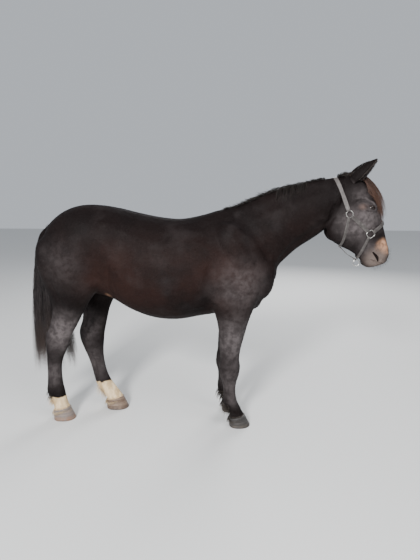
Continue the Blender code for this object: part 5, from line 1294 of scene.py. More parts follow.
def forelock(tree):
    """Hair from the poll between the ears that falls over the forehead and the face."""
    rng = np.random.default_rng(31)
    line = through(FORELOCK_LINE, 5)
    guides, places = [], []
    for _ in range(FORELOCK.guides):
        y = rng.uniform(-1, 1)
        end = rng.uniform(*FORELOCK_ENDS) - 0.08 * abs(y)
        depth = FORELOCK_DEEP * rng.uniform() ** 1.1
        swing = rng.normal(0, 0.004)
        path = []
        for t in np.linspace(0, end, DRAPE_STEPS + 1):
            x, z = row_at(line, t)
            open_out = min(1.0, max(0.0, (t - 0.25) / 0.45))
            wide = y * (FORELOCK_ROOT + FORELOCK_SPREAD * open_out)
            back = depth * min(1, 2 * t) + FORELOCK_ROUND * y * y * open_out
            p = Vector((x - back + swing * t, wide, z - depth * min(1, 3 * t)))
            path.append(kept_off(tree, p, 0.003 + 0.22 * depth) if t > 0.15 else p)
        guides.append(path)
        places.append((0.30 + 0.30 * (y * 0.5 + 0.5), 0.885))
    return bundle("forelock_hair", tree, FORELOCK, guides, places, 32)


def tail(tree, name, side, seed):
    """One side of the tail: the hindmost hair hangs straight, the rest sweeps forward."""
    rng = np.random.default_rng(seed)
    core = through(TAIL_CORE, 6)
    guides, places = [], []
    for k in range(TAIL.guides):
        share = (k + 0.5) / TAIL.guides
        row = Station(*row_at(core, 0.85 * rng.uniform() ** 1.6))
        turn = side * math.pi * (share * 11 % 1)
        middle = Vector(((row.up_x + row.low_x) / 2, 0, (row.up_z + row.low_z) / 2))
        deep = abs(row.up_x - row.low_x) / 2
        out = Vector((-math.cos(turn) * deep, math.sin(turn) * row.half, 0))
        start = middle + out * 0.9
        sweep = rng.uniform() ** 1.35
        low = rng.uniform() ** 1.6 * (0.40 + 0.60 * sweep)
        tip = Vector((TAIL_BACK + (TAIL_FRONT - TAIL_BACK) * sweep,
                      rng.uniform(*TAIL_Y) * side,
                      TAIL_LOW + (TAIL_HIGH - TAIL_LOW) * low))
        forward = k % 5 == 2
        if forward:
            tip = Vector([rng.uniform(*span) for span in FORWARD_TIP])
        drop = start.z - tip.z
        second = start + out.normalized() * 0.018 + Vector((-0.024, 0, -0.16 * drop))
        third = Vector((min(tip.x, -1.215 + 0.10 * sweep), tip.y * 1.25, tip.z + 0.42 * drop))
        if forward:
            third = Vector((tip.x + 0.02, tip.y, tip.z + 0.26 * drop))
        path = []
        for t in np.linspace(0, 1, DRAPE_STEPS + 1):
            p = (start * (1 - t) ** 3 + second * (3 * t * (1 - t) ** 2)
                 + third * (3 * t * t * (1 - t)) + tip * t**3)
            path.append(kept_off(tree, p, 0.008) if t > 0.1 else p)
        guides.append(path)
        places.append((inset(share), 0.93))
    return bundle(name, tree, TAIL, guides, places, seed + 1)


def feather(name, tree, stations, white):
    """The tuft that hangs behind a fetlock."""
    rng = np.random.default_rng(len(name) + int(1000 * abs(stations[0].up_x)))
    s = stations[-4]
    down = Vector((0, 0, -1))
    guides, places = [], []
    for k in range(FEATHER.guides):
        turn = math.radians(FEATHER_ARC) * rng.uniform(-1, 1)
        out = Vector((-math.cos(turn), math.sin(turn), 0))
        height = s.low_z + rng.uniform(*(WHITE_FEATHER if white else DARK_FEATHER))
        middle = Vector(((s.low_x + s.up_x) / 2, s.y, height))
        root = tree.ray_cast(middle + out * 0.3, -out)[0] or tree.find_nearest(middle)[0]
        length = (FEATHER_SIDE + FEATHER_BACK * math.cos(turn) ** 2) * rng.uniform(0.4, 1.25)
        guides.append(draped(tree, root - out * 0.003, out * 0.9 + down,
                             min(length, root.z - 0.022), 0.002, out * 0.18 + down, 0.10))
        places.append((0.1 + 0.8 * k / FEATHER.guides, 0.405))
    return bundle(name, tree, FEATHER, guides, places, 42)


def fringe(name, tree, stations):
    """Short hair that hangs over the top of a hoof."""
    rng = np.random.default_rng(len(name) + 7)
    s = stations[-2]
    rows = []
    for k in range(FRINGE_HAIRS):
        turn = 2 * math.pi * (k + rng.uniform()) / FRINGE_HAIRS
        out = Vector((math.cos(turn), math.sin(turn), 0))
        share = 0.5 + 0.5 * math.cos(turn)
        height = s.low_z + (s.up_z - s.low_z) * share + rng.uniform(0.003, 0.016)
        middle = Vector(((s.up_x + s.low_x) / 2, s.y, height))
        rows.append((
            tree.ray_cast(middle + out * 0.2, -out)[0] - out * 0.0015,
            out * 0.55 + Vector((0.25 * share, 0, -1)),
            out * 0.10 + Vector((0, 0, -0.25)),
            rng.uniform(*FRINGE_LENGTH) + 0.018 * (1 - share),
            (0.04 + 0.92 * k / FRINGE_HAIRS, 0.015),
        ))
    return hairs(name, *zip(*rows), FRINGE_WIDTH, rng)


def lashes():
    """Lashes along both upper lids, and fewer on the lower ones."""
    rng = np.random.default_rng(71)
    rows = []
    for side, _ in SIDES:
        middle, out, long_way, up = eye_frame(side)
        for k in range(LASHES):
            across = -0.82 + 1.64 * (k + rng.uniform()) / LASHES
            lower = k % 4 == 3
            u = across * LID_LENGTH / 2
            v = lid_edges(u)[lower]
            w = math.sqrt((EYE_RADIUS + LID_THICK) ** 2 - u * u - v * v)
            rows.append((
                middle + long_way * u + up * v + out * w,
                out * 0.8 + long_way * (0.35 * across) - up * (0.5 if lower else 0.45),
                up * (-0.2 if lower else 0.28),
                rng.uniform(*(LOWER_LASH if lower else UPPER_LASH)),
                (0.70 + 0.1 * side + 0.0005 * k, 0.87),
            ))
    return hairs("eye_lashes", *zip(*rows), LASH_WIDTH, rng)


def whiskers(head):
    """Fine feelers round the muzzle."""
    rng = np.random.default_rng(72)
    roots, ups = scattered(head, WHISKER_SPACING,
                           lambda p: (p[:, 0] > 1.125) & (p[:, 2] < 1.255), rng)
    pull = np.array((0.15, 0.0, -0.45))
    return hairs("muzzle_whiskers", roots, ups + rng.normal(0, 0.2, ups.shape),
                 np.repeat(pull[None], len(roots), 0), rng.uniform(*WHISKER_LENGTH, len(roots)),
                 unwrap(roots), WHISKER_WIDTH, rng)


# Ears

def ear_ways(side):
    """An ear's base, tip, the way along it, the way its cup opens and the way across."""
    base, tip = mirror(EAR_BASE, side), mirror(EAR_TIP, side)
    along = (tip - base).normalized()
    open_way = mirror(EAR_OPEN, side)
    open_way = (open_way - along * open_way.dot(along)).normalized()
    return base, tip, along, open_way, along.cross(open_way)


def ear_unwrap(points, side):
    """Each point's place on a flat unwrap of an ear."""
    base, tip, along, open_way, across = (np.array(v) for v in ear_ways(side))
    off = np.asarray(points) - base
    turn = np.arctan2(off @ across, -(off @ open_way)) / (2 * math.pi) + 0.5
    share = off @ along / np.linalg.norm(tip - base)
    return inset(np.stack([turn, np.clip(0.2 + 0.8 * share, 0, 1)], 1))


def ear_rim(side, share, half, depth):
    """The way from the ear's middle line out to its cup, a share of the arc to either side."""
    _, _, _, open_way, across = ear_ways(side)
    turn = math.radians(EAR_ARC) * share
    return across * math.sin(turn) * half - open_way * math.cos(turn) * depth


def fine_ear(side, word):
    """The ear's cup with a thin rolled rim."""
    base, tip, _, open_way, _ = ear_ways(side)
    rings = []
    for t, half, depth in through(EAR_LENGTH_ROWS, 6):
        middle = base + (tip - base) * t
        outer, inner = [], []
        for share in np.linspace(-1, 1, EAR_SIDES):
            rim = abs(share) ** 6
            wall = min(EAR_WALL + (EAR_RIM_WALL - EAR_WALL) * rim, half * 0.5)
            out = ear_rim(side, share, half, depth) * (1 + 0.05 * rim)
            outer.append(middle + out)
            inner.append(middle + out * max(0.25, 1 - wall / max(half, depth))
                         + open_way * 0.0006)
        rings.append(np.array([tuple(p) for p in outer + inner[::-1]]))
    middle = rings[0].mean(0)
    low = middle + (rings[0] - middle) * 0.55 + np.array((-0.012, -side * 0.026, -0.040))
    return outward(skinned("ear_skin_" + word, [low] + rings))


def ear_bloom(points, normals, side):
    """Greyish fur inside the ear's cup."""
    base, _, along, _, _ = ear_ways(side)
    off = points - np.array(base)
    off -= (off @ np.array(along))[:, None] * np.array(along)
    return 0.85 * (np.sum(off * normals, 1) < 0)


def ear_hair(side, word):
    """Hair inside the cup and along its rim."""
    rng = np.random.default_rng(81 + side)
    base, tip, along, open_way, _ = ear_ways(side)
    rows = through(EAR_LENGTH_ROWS, 6)
    roots, ways, bends, lengths = [], [], [], []
    for k in range(EAR_HAIRS):
        on_rim = k % 2
        t, half, depth = row_at(rows, rng.uniform(0.04, 0.92))
        share = rng.choice((-1, 1)) * (1.0 if on_rim else rng.uniform(0.2, 0.98))
        out = ear_rim(side, share, half, depth)
        roots.append(base + (tip - base) * t + out * (1.02 if on_rim else 0.90))
        if on_rim:
            ways.append(along * 1.2 + open_way * rng.uniform(0.2, 0.9)
                        + out.normalized() * rng.uniform(-0.1, 0.15))
            lengths.append(rng.uniform(*RIM_HAIR))
        else:
            ways.append(open_way * 0.9 + along * 0.4 - out.normalized() * 0.5)
            lengths.append(rng.uniform(*CUP_HAIR) * (1 - 0.4 * t))
        bends.append(along * 0.25 + Vector(rng.normal(0, 0.12, 3)))
    return hairs("ear_hair_" + word, roots, ways, bends, lengths,
                 ear_unwrap([tuple(p) for p in roots], side), EAR_HAIR_WIDTH, rng)


def ear_fur(ear, side, word):
    """Short tufts on the ear, laid towards its tip."""
    rng = np.random.default_rng(84 + side)
    along = np.array(ear_ways(side)[2])
    roots, ups = scattered(ear, EAR_TUFT_SPACING, lambda p: np.ones(len(p)), rng)
    ways = unit(along[None] + ups * 0.30 + rng.normal(0, 0.15, ups.shape))
    fuzz = hairs("ear_fur_" + word, roots, ways, -ups * 0.10,
                 rng.uniform(*EAR_TUFT, len(roots)), ear_unwrap(roots, side),
                 EAR_TUFT_WIDTH, rng, steps=2)
    put_marks(fuzz, roots, bloom=ear_bloom(roots, ups, side))
    return shaded_as(fuzz, ups, rng)


# Hooves

def fine_hoof(name, stations):
    """A hoof wall with its growth rings, a full coronet and a rounded lower edge."""
    s = stations[-2]
    top = s._replace(
        up_x=s.up_x + HOOF_LIP, low_x=s.low_x - HOOF_LIP, half=s.half + CORONET_SPREAD,
        widest=0.45, up_square=2.0, low_square=2.6)
    sole = top._replace(
        up_x=s.up_x + HOOF_TOE, low_x=s.low_x - HOOF_HEEL, up_z=0.0, low_z=0.0,
        half=s.half + HOOF_SPREAD + CORONET_SPREAD)
    top, sole = np.array(top), np.array(sole)
    rings = []
    for t in np.linspace(0, 1, HOOF_ROWS):
        ring = section(top + (sole - top) * t, HOOF_SIDES)
        middle = ring.mean(0)
        ripple = HOOF_RIPPLE * math.sin(34 * t + 3 * math.sin(5 * t)) - 0.0006
        band = HOOF_BAND * math.exp(-((t - 0.06) / 0.05) ** 2)
        edge = -HOOF_EDGE * max(0.0, (t - 0.94) / 0.06) ** 2
        flat = (ring - middle) * (1, 1, 0)
        rings.append(ring + flat * (ripple + band + edge)
                     / np.linalg.norm(flat, axis=1, keepdims=True))
    middle = rings[0].mean(0)
    neck = middle + (rings[0] - middle) * 0.90 + np.array((0, 0, 0.0015))
    return skinned("horn_" + name, [neck] + rings)


# The headcollar

def hull_between(points):
    """The taut line over points given in order, in the plane seen from the origin."""
    kept = []
    for p in points:
        while len(kept) > 1:
            a, b = kept[-2], kept[-1]
            if (b[0] - a[0]) * (p[1] - a[1]) - (b[1] - a[1]) * (p[0] - a[0]) > 0:
                break
            kept.pop()
        kept.append(p)
    return kept


def seat(tree, point, lift):
    """The nearest place on the flesh, lifted off it, and the way out of it."""
    hit, normal = tree.find_nearest(Vector(point))[:2]
    return hit + normal * lift, normal


def strap_path(tree, start, end, over, inside):
    """A band's middle line, pulled taut over the skin by way of the point over."""
    start, end, over, inside = (Vector(p) for p in (start, end, over, inside))
    first = (start - inside).normalized()
    second = ((over - inside) - first * (over - inside).dot(first)).normalized()

    def turn_to(point):
        return math.atan2((point - inside).dot(second), (point - inside).dot(first))

    last = turn_to(end) % (2 * math.pi)
    slack = round(RAYS * turn_to(over) / last)
    seen = []
    for k in range(RAYS + 1):
        turn = last * k / RAYS
        way = first * math.cos(turn) + second * math.sin(turn)
        hit = tree.ray_cast(inside + way * RAY_REACH, -way, RAY_REACH)[0]
        reach = (hit - inside).length + STRAP_OFF if hit else 0.02
        for place, point in ((0, start), (slack, over), (RAYS, end)):
            if k == place:
                reach = max(reach, (point - inside).length)
        seen.append((math.cos(turn) * reach, math.sin(turn) * reach))
    line = np.array([tuple(inside + first * x + second * y) for x, y in hull_between(seen)])
    lengths = np.concatenate([[0], np.cumsum(np.linalg.norm(np.diff(line, axis=0), axis=1))])
    wanted = np.linspace(0, lengths[-1], STRAP_STEPS + 1)
    path = np.stack([np.interp(wanted, lengths, line[:, i]) for i in range(3)], 1)
    for _ in range(10):
        path[1:-1] = path[1:-1] / 2 + (path[:-2] + path[2:]) / 4
    ups = np.array([tuple(tree.find_nearest(Vector(p))[1]) for p in path])
    for _ in range(14):
        ups[1:-1] = unit(ups[1:-1] / 2 + (ups[:-2] + ups[2:]) / 4)
    return path, ups


def fine_strap(name, tree, start, end, over, inside, width=STRAP_WIDTH):
    """A leather band with rounded edges, thicker where its ends fold round the rings."""
    path, ups = strap_path(tree, start, end, over, inside)
    along = unit(np.gradient(path, axis=0))
    side = unit(np.cross(along, ups))
    up = np.cross(side, along)
    length = np.linalg.norm(np.diff(path, axis=0), axis=1).sum()
    at = np.linspace(0, length, STRAP_STEPS + 1)
    path[0] -= along[0] * STRAP_PAST
    path[-1] += along[-1] * STRAP_PAST
    rings, tops = [], []
    for i, p in enumerate(path):
        near = min(at[i], length - at[i])
        thick = STRAP_THICK + (STRAP_END - STRAP_THICK) * math.exp(-(near / 0.018) ** 4)
        pinch = 1 - 0.10 * math.exp(-(near / 0.004) ** 2)
        rings.append(np.array([
            p + side[i] * (x * width / 2 * pinch) + up[i] * (y * thick / 2)
            for x, y in STRAP_SECTION]))
        tops.append(thick / 2)
    return skinned(name, rings), (path, side, up, along, at, tops, width)


def stitches(name, bands):
    """Short threads along both edges of each band."""
    points, faces = [], []
    for path, side, up, along, at, tops, width in bands:
        rows = np.column_stack([path, side, up, along, tops])
        for edge in (-1, 1):
            for place in np.arange(0.006, at[-1] - 0.006, STITCH_GAP):
                mix = np.array([np.interp(place, at, row) for row in rows.T])
                p, s, u, a = mix[:12].reshape(4, 3)
                middle = p + s * edge * (width / 2 - STITCH_IN) + u * (mix[12] * 0.95)
                base = len(points)
                for way, reach in ((a, -STITCH / 2), (s, STITCH_WIDE), (u, STITCH_HIGH)):
                    points += [middle + way * reach, middle - way * reach]
                for i, j in ((2, 4), (4, 3), (3, 5), (5, 2)):
                    faces += [(base, base + j, base + i), (base + 1, base + i, base + j)]
    return mesh_object(name, points, faces)


def bar(name, line, radius):
    """A closed bar of round section along the given points."""
    line = np.array([tuple(p) for p in line])
    middle = line.mean(0)
    following = np.roll(line, -1, 0)
    normal = unit(np.cross(line - middle, following - middle).sum(0))
    out = unit(np.cross(unit(following - np.roll(line, 1, 0)), normal))
    turns = (2 * np.pi * (np.arange(BAR_SIDES) + 0.5) / BAR_SIDES)[None, :, None]
    rings = line[:, None] + (out[:, None] * np.cos(turns) + normal * np.sin(turns)) * radius
    return skinned(name, rings, round_trip=True)


def ring_line(middle, normal, along, half, power, stretch=1.0):
    """A ring from round (power 2) to square (power 7 or so), lying across normal."""
    first = (along - normal * along.dot(normal)).normalized()
    second = normal.cross(first)
    line = []
    for k in range(ROUND_STEPS):
        turn = 2 * math.pi * (k + 0.5) / ROUND_STEPS
        c, s = math.cos(turn), math.sin(turn)
        reach = half / (abs(c) ** power + abs(s) ** power) ** (1 / power)
        line.append(middle + first * (c * reach) + second * (s * reach * stretch))
    return line


def headcollar(tree):
    """Bands, rings, a buckle and the stitching."""
    made, bands, metal, places = {}, [], {}, {}

    def band(name, *way, **more):
        made[name], row = fine_strap("collar_" + name, tree, *way, **more)
        bands.append(row)

    def round_head(name, ring, way, reach, over, inside, **more):
        """A band from a ring on the right to its twin, by way of the point over."""
        start = places[ring + "_right"] + way * reach
        band(name, start, mirror(start, -1), over,
             Vector((start.x + inside[0], 0, start.z + inside[1])), **more)

    for side, word in SIDES:
        for kind, node, at, way, half, power in (
            ("round", "ring_cheek_", ROUND_RING, (1, 0, -1), RING_RADIUS, 2),
            ("square", "ring_nose_", SQUARE_RING, NOSE_WAY, SQUARE_HALF, 7),
        ):
            middle, normal = seat(tree, mirror(at, side), RING_OFF + COAT_DEPTH)
            places[f"{kind}_{word}"] = middle
            line = ring_line(middle, normal, Vector(way), half, power)
            metal[node + word] = bar(f"{kind}_ring_{word}", line, RING_BAR)
    up_way = Vector(CROWN_TOP) - places["round_right"]
    round_head("crown", "round", Vector((up_way.x, 0, up_way.z)).normalized(), RING_RADIUS,
               CROWN_TOP, (-0.012, 0.04))
    round_head("throat", "round", Vector(THROAT_WAY), RING_RADIUS, THROAT_LOW, (-0.005, -0.03),
               width=THIN_STRAP)
    for _, word in SIDES:
        a, b = places["round_" + word], places["square_" + word]
        way = (b - a).normalized()
        start, end = a + way * RING_RADIUS, b - way * SQUARE_HALF
        middle, normal = seat(tree, (start + end) / 2, STRAP_OFF)
        band("cheek_" + word, start, end, middle, middle - normal * 0.25)
    round_head("nose", "square", Vector(NOSE_WAY), SQUARE_HALF, NOSE_TOP, (-0.005, -0.004))
    round_head("chin", "square", Vector(CHIN_WAY), SQUARE_HALF, CHIN_LOW, (-0.002, 0.004),
               width=THIN_STRAP)
    throat_low = Vector(THROAT_LOW) + Vector((0.002, 0, -0.001))
    chin_low = Vector(CHIN_LOW) + Vector((-0.002, 0, -0.001))
    middle = (throat_low + chin_low) / 2
    out = Vector((chin_low.z - throat_low.z, 0, throat_low.x - chin_low.x)).normalized()
    band("jaw", throat_low, chin_low, middle + out * 0.010, middle - out * 0.15,
         width=THIN_STRAP)
    drop = Vector(CHIN_LOW) + Vector((0.004, 0, -0.004 - RING_RADIUS))
    line = ring_line(drop, Vector((0, 1, 0)), Vector((0, 0, 1)), RING_RADIUS, 2)
    metal["ring_chin"] = bar("chin_ring", line, RING_BAR)
    return made, metal, buckle(*bands[0][:4]), stitches("thread", bands)


def buckle(path, side, up, along):
    """The crown strap's buckle and the keeper behind it."""
    at = int(BUCKLE_AT * STRAP_STEPS)
    past = at - 3
    frame = ring_line(Vector(path[at] + up[at] * 0.0034), Vector(up[at]), Vector(side[at]),
                      STRAP_WIDTH / 2 + 0.0045, 6, 0.78)
    keeper = ring_line(Vector(path[past]), Vector(along[past]), Vector(side[past]),
                       STRAP_WIDTH / 2 + 0.0016, 7, 0.34)
    prong = [path[at] + up[at] * (0.0050 + 0.0008 * math.sin(3 * t)) + along[at] * (t * 0.014)
             for t in np.linspace(-1.0, 1.0, PRONG_STEPS)]
    return (
        bar("buckle_frame", frame, BUCKLE_BAR),
        strands("buckle_prong", np.array([prong]), np.array([[up[at]] * PRONG_STEPS]),
                np.array([PRONG_WIDTH]), np.zeros((1, 2)), np.zeros(1), flat=1.0, root=1.0),
        bar("strap_keeper", keeper, KEEPER_BAR),
    )


# Materials

class Nodes:
    """A short way to wire a material."""

    def __init__(self, name):
        self.material = bpy.data.materials.new(name)
        self.material.use_nodes = True
        self.tree = self.material.node_tree
        self.shader = self.tree.nodes["Principled BSDF"]

    def feed(self, socket, value):
        """Links another node's output to a socket, or sets a colour or a number on it."""
        if isinstance(value, bpy.types.NodeSocket):
            self.tree.links.new(value, socket)
        elif socket.type == "RGBA":
            socket.default_value = (*value, 1.0)
        else:
            socket.default_value = value

    def add(self, kind, **values):
        """A node with these settings and inputs."""
        node = self.tree.nodes.new(kind)
        for key, value in values.items():
            if key in node.inputs:
                self.feed(node.inputs[key], value)
            else:
                setattr(node, key, value)
        return node

    def place(self, scale):
        """Object coordinates, stretched by one scale or by one along each axis."""
        stretch = scale if isinstance(scale, tuple) else (scale,) * 3
        source = self.add("ShaderNodeTexCoord").outputs["Object"]
        return self.add("ShaderNodeMapping", Scale=stretch, Vector=source).outputs["Vector"]

    def noise(self, scale, low=None, high=None, detail=3.0, rough=0.5):
        """Noise, and with low and high a soft step over it from one to the other."""
        node = self.add("ShaderNodeTexNoise", Scale=1.0, Detail=detail, Roughness=rough,
                        Vector=self.place(scale))
        return node.outputs["Fac"] if low is None else self.ramp(node.outputs["Fac"], low, high)

    def number(self, name):
        return self.add("ShaderNodeAttribute", attribute_name=name).outputs["Fac"]

    def math(self, operation, a, b):
        node = self.add("ShaderNodeMath", operation=operation)
        for socket, value in zip(node.inputs, (a, b)):
            self.feed(socket, value)
        return node.outputs[0]

    def times(self, a, b):
        return self.math("MULTIPLY", a, b)

    def plus(self, a, b):
        return self.math("ADD", a, b)

    def ramp(self, value, low, high):
        """0 below low, 1 above high, soft between."""
        node = self.add("ShaderNodeMapRange", interpolation_type="SMOOTHSTEP")
        for socket, part in (("From Min", low), ("From Max", high), ("Value", value)):
            self.feed(node.inputs[socket], part)
        return node.outputs[0]

    def mix(self, share, a, b):
        node = self.add("ShaderNodeMix", data_type="RGBA")
        for place, value in ((0, share), (6, a), (7, b)):  # the factor and the two colours
            self.feed(node.inputs[place], value)
        return node.outputs[2]

    def bump(self, height, strength, distance, **under):
        return self.add("ShaderNodeBump", Strength=strength, Distance=distance, Height=height,
                        **under).outputs["Normal"]

    def finish(self, colour, roughness, **more):
        values = {"Base Color": colour, "Roughness": roughness, **more}
        for name, value in values.items():
            self.feed(self.shader.inputs[name.replace("_", " ")], value)
        return self.material


def coat_colour(n, vary):
    """The coat's colour from its marks: one recipe for the skin and for the fur on it."""
    red = n.times(n.number("red"), n.noise(3, 0.30, 0.70, detail=4))
    colour = n.mix(red, BLACK_BROWN, RED_BROWN)
    colour = n.mix(n.times(n.noise(7, 0.48, 0.75, detail=5), 0.08), colour, GREY_DUST_AND_SHEEN)
    colour = n.mix(n.times(n.noise(160, 0.45, 0.80, detail=2), 0.055), colour, GREY_DUST_AND_SHEEN)
    colour = n.mix(vary, colour, GREY_DUST_AND_SHEEN)
    # Greyish dust and painted sheen, mottled
    mottle = n.plus(n.times(n.noise(24, 0.34, 0.66, detail=6, rough=0.62), 0.70), 0.48)
    colour = n.mix(n.times(n.number("bloom"), mottle), colour, GREY_DUST_AND_SHEEN)
    soft = n.noise(30, 0.15, 0.55, detail=4)
    uneven = n.times(n.math("SUBTRACT", n.noise(18, detail=5), 0.5), 0.9)
    tan = n.ramp(n.plus(n.number("tan"), n.times(uneven, n.number("tan"))), 0.02, 1.0)
    colour = n.mix(n.times(tan, soft), colour, TAN)
    colour = n.mix(n.times(n.number("pink"), soft), colour, PINK_GREY)
    colour = n.mix(n.number("bare"), colour, LIP_GREY)
    jag = n.times(n.math("SUBTRACT", n.noise((38, 38, 24), detail=4), 0.5), 0.036)
    white = n.ramp(n.plus(n.number("sock"), jag), -0.002, 0.006)
    cream = n.mix(n.noise((30, 30, 12), 0.35, 0.65), SOCK_SHADE, SOCK_CREAM)
    return n.mix(white, colour, cream)


def skin_material():
    """Short flat fur in the bump, streaked the way it lies."""
    n = Nodes("coat_skin")
    lie = n.mix(n.number("leg"), n.noise((90, 330, 300)), n.noise((330, 330, 80)))
    normal = n.bump(lie, 0.50, 0.0010, Normal=n.bump(n.noise(16), 0.30, 0.004))
    colour = coat_colour(n, n.times(n.ramp(lie, 0.50, 0.80), 0.08))
    # Painted shade in the nostrils and the eye openings, and the dark lid rims
    colour = n.mix(n.ramp(n.number("painted_shade_and_lid_rims"), 0.25, 0.80), colour, PAINTED_SHADE_AND_LID_DARK)
    rough = n.plus(n.times(n.noise(60), 0.16), 0.50)
    return n.finish(colour, rough, Normal=normal, Specular_IOR_Level=0.05)


def fur_material():
    n = Nodes("coat_fur")
    colour = coat_colour(n, n.times(n.ramp(n.number("shade"), 0.2, 1.0), 0.11))
    dark = n.times(n.ramp(n.number("shade"), 0.55, 0.0), 0.45)
    return n.finish(n.mix(dark, colour, FUR_DARK), 0.60, Specular_IOR_Level=0.05)


def hair_material(name, dark, light, tips, tip_from, tip_full=1.0, white_below=None):
    """Long hair: dark and light strands, and tips bleached by the sun."""
    n = Nodes(name)
    colour = n.mix(n.ramp(n.number("shade"), 0.15, 1.0), dark, light)
    gone = n.times(n.ramp(n.number("down"), tip_from, tip_full),
                   n.ramp(n.number("shade"), -0.2, 0.8))
    colour = n.mix(gone, colour, tips)
    colour = n.mix(n.times(n.noise((420, 420, 60), 0.5, 0.9, detail=2), 0.3), colour, light)
    if white_below:
        high = n.ramp(n.number("root_height"), white_below - 0.006, white_below + 0.002)
        cream = n.mix(n.ramp(n.number("shade"), 0.1, 1.0), SOCK_SHADE, SOCK_CREAM)
        colour = n.mix(high, cream, colour)
    return n.finish(colour, 0.48, Specular_IOR_Level=0.22)


def horn_material(name, base, band, low):
    """Horn with rings along the wall, fine upright streaks and a worn lower edge."""
    n = Nodes(name)
    rings, streaks = n.noise((4, 4, 150), detail=2), n.noise((260, 260, 12))
    colour = n.mix(n.ramp(rings, 0.40, 0.65), base, band)
    colour = n.mix(n.times(n.ramp(streaks, 0.35, 0.75), 0.55), colour, band)
    height = n.add("ShaderNodeSeparateXYZ", Vector=n.place(1.0)).outputs["Z"]
    worn = n.math("SUBTRACT", 1.0, n.ramp(height, 0.004, 0.045))
    colour = n.mix(n.times(worn, n.noise((40, 40, 60), 0.30, 0.62)), colour, low)
    normal = n.bump(streaks, 0.35, 0.0008, Normal=n.bump(rings, 0.6, 0.0022))
    return n.finish(colour, 0.50, Normal=normal)


def leather_material():
    n = Nodes("headcollar_leather")
    worn = n.noise(55, detail=4)
    grain = n.add("ShaderNodeTexVoronoi", Scale=1.0, Vector=n.place(900)).outputs["Distance"]
    colour = n.mix(n.ramp(worn, 0.35, 0.70), LEATHER, LEATHER_WORN)
    colour = n.mix(n.times(n.noise(300, 0.5, 0.8), 0.5), colour, LEATHER_GRAIN)
    # Sun fading, and painted light on the crown strap at the top of the head
    colour = n.mix(n.number("faded_and_lit"), colour, LEATHER_FADED_AND_LIT)
    normal = n.bump(grain, 0.35, 0.0005, Normal=n.bump(worn, 0.25, 0.0012))
    return n.finish(colour, n.plus(n.times(worn, 0.3), 0.38), Normal=normal)


def thread_material():
    n = Nodes("headcollar_thread")
    return n.finish(n.mix(n.noise(120, 0.35, 0.65), THREAD_DARK, THREAD_LIGHT), 0.7)


def steel_material():
    n = Nodes("ring_steel")
    scuffed = n.noise(240, detail=4)
    colour = n.mix(n.ramp(scuffed, 0.45, 0.75), STEEL, STEEL_DULL)
    rough = n.plus(n.times(scuffed, 0.25), 0.18)
    return n.finish(colour, rough, Normal=n.bump(scuffed, 0.15, 0.0004), Metallic=1.0)


def eye_material():
    """A dark brown iris round a level pupil, under a wet gloss."""
    n = Nodes("eye_wet")
    pupil = n.number("pupil")
    iris = n.mix(n.noise(500, 0.3, 0.7), IRIS_DARK, IRIS_LIGHT)
    colour = n.mix(n.ramp(pupil, 0.40, 0.55), PUPIL, iris)
    colour = n.mix(n.ramp(pupil, 1.35, 1.60), colour, EYE_RIM)
    return n.finish(colour, 0.16, Specular_IOR_Level=0.3, Coat_Weight=0.30, Coat_Roughness=0.05)


# The rest of the object

def eyeball(side, word):
    """An eyeball whose points know how far they lie from the middle of its level pupil."""
    middle, out, long_way, up = eye_frame(side)
    eye = ball("eyeball_" + word, mirror(EYE, side), (EYE_RADIUS,) * 3, detail=5)
    off = (points_of(eye) - middle) / EYE_RADIUS
    around = np.hypot((off @ long_way) / 1.25, off @ up) * 2.2 + 2.0 * (off @ out < 0)
    put(eye, "pupil", around)
    return eye


def stage():
    """A pale floor and soft light."""
    bpy.ops.mesh.primitive_plane_add(size=40, location=(0, 0, 0))
    floor = bpy.context.object
    floor.name = "floor"
    floor.data.materials.append(Nodes("floor_pale").finish(FLOOR_GREY, 0.75))
    world = bpy.data.worlds.new("studio")
    bpy.context.scene.world = world
    world.use_nodes = True
    background = world.node_tree.nodes["Background"].inputs
    background["Color"].default_value = SKY
    background["Strength"].default_value = SKY_STRENGTH
    for name, place, size, power in LIGHTS:
        light = bpy.data.lights.new(name, "AREA")
        light.size = size
        light.energy = power
        lamp = linked(name, light)
        lamp.location = place
        lamp.rotation_mode = "QUATERNION"
        lamp.rotation_quaternion = (Vector(place) - LIT_POINT).to_track_quat("Z", "Y")


def camera():
    data = bpy.data.cameras.new("camera")
    data.sensor_width = 36.0
    data.lens = CAMERA_LENS
    obj = linked("camera", data)
    obj.location = Vector(CAMERA_PLACE) + Vector((SHIFT, 0, 0))
    obj.rotation_euler = (math.radians(90 - CAMERA_DOWN), 0, math.radians(-CAMERA_YAW))
    bpy.context.scene.camera = obj


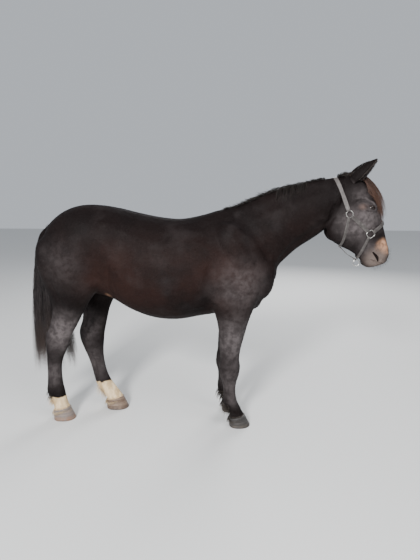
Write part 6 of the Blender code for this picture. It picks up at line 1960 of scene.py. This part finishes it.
def main():
    looks = {name: hair_material(name, *look) for name, look in HAIR_LOOKS.items()}
    skin, fur = skin_material(), fur_material()
    head, trunk = skin_of_body()
    tree = surface_tree([head, trunk])

    # The hair and fur grow before the skin moves to the solids' frame
    long_hair = [(mane(tree), "mane_strands"), (forelock(tree), "forelock_strands")]
    tails = [tail(tree, "tail_hair_right", -1, 51), tail(tree, "tail_hair_left", 1, 55)]
    fringes = []
    for name, stations in legs().items():
        look = "feather_" + name if "hind" in name else "feather_dark"
        long_hair.append((feather("feather_" + name, tree, stations, "hind" in name), look))
        fringes.append((fringe("fringe_" + name, tree, stations), look))
    feelers = [lashes(), whiskers(head)]
    collar, metal, (frame, prong, keeper), thread = headcollar(tree)
    dock = outward(lofted("tail_dock", TAIL_CORE, *DOCK_ENDS, steps=10))
    put(dock, "painted_shade_and_lid_rims", np.zeros(len(dock.data.vertices)))
    furs = [
        coat_piece("fur_head", head, HEAD_FUR, open_skin, 61),
        coat_piece("fur_trunk_right", trunk, TRUNK_FUR,
                   lambda p: (p[:, 1] < 0) & (p[:, 2] > LEG_TOP), 62),
        coat_piece("fur_trunk_left", trunk, TRUNK_FUR,
                   lambda p: (p[:, 1] >= 0) & (p[:, 2] > LEG_TOP), 63),
        coat_piece("fur_legs", trunk, LEG_FUR, lambda p: p[:, 2] <= LEG_TOP, 64),
        coat_piece("fur_dock", dock, DOCK_FUR, lambda p: p[:, 2] > DOCK_FUR_LOW, 65),
    ]

    for obj, nodes in ((trunk, FLESH_NODES), (head, ["head"]), (dock, ["tail"])):
        put_marks(obj, points_of(obj))
        put_map(obj, unwrap(points_of(obj)))
        dressed(obj, skin, None, *nodes)
    for obj in furs:
        dressed(obj, fur, "coat")
    for obj, look in long_hair + fringes:
        dressed(obj, looks[look], "coat")
    for obj in tails:
        dressed(obj, looks["tail_strands"], "hair", "tail")
    for obj in feelers:
        dressed(obj, looks["mane_strands"], "hair")
    for side, word in SIDES:
        ear = fine_ear(side, word)
        points, normals = points_of(ear), normals_of(ear)
        dressed(ear_fur(ear, side, word), fur, "coat")
        dressed(ear_hair(side, word), looks["ear_lining"], "coat")
        put_marks(ear, points, bloom=ear_bloom(points, normals, side))
        put(ear, "painted_shade_and_lid_rims", np.zeros(len(points)))
        put_map(ear, ear_unwrap(points, side))
        dressed(ear, skin, "coat", "ear_" + word)
    for name, stations in legs().items():
        dressed(fine_hoof(name, stations), horn_material("horn_" + name, *HORN_COLOURS[name]),
                "horn", "hoof_" + name)
    leather, steel = leather_material(), steel_material()
    for name, obj in collar.items():
        # The crown strap on top is painted lighter: painted light
        faded_and_lit = CROWN_PAINTED_LIGHT if name == "crown" else FADED
        put(obj, "faded_and_lit", np.full(len(obj.data.vertices), faded_and_lit))
        dressed(outward(obj), leather, "leather", "strap_" + name)
    dressed(outward(keeper), leather, "leather")
    dressed(outward(thread), thread_material(), "leather")
    for name, obj in metal.items():
        dressed(outward(obj), steel, "steel", name)
    for obj in (frame, prong):
        dressed(outward(obj), steel, "steel")
    wet = eye_material()
    for side, word in SIDES:
        dressed(eyeball(side, word), wet, None, "eye_" + word)
    stage()
    camera()


main()
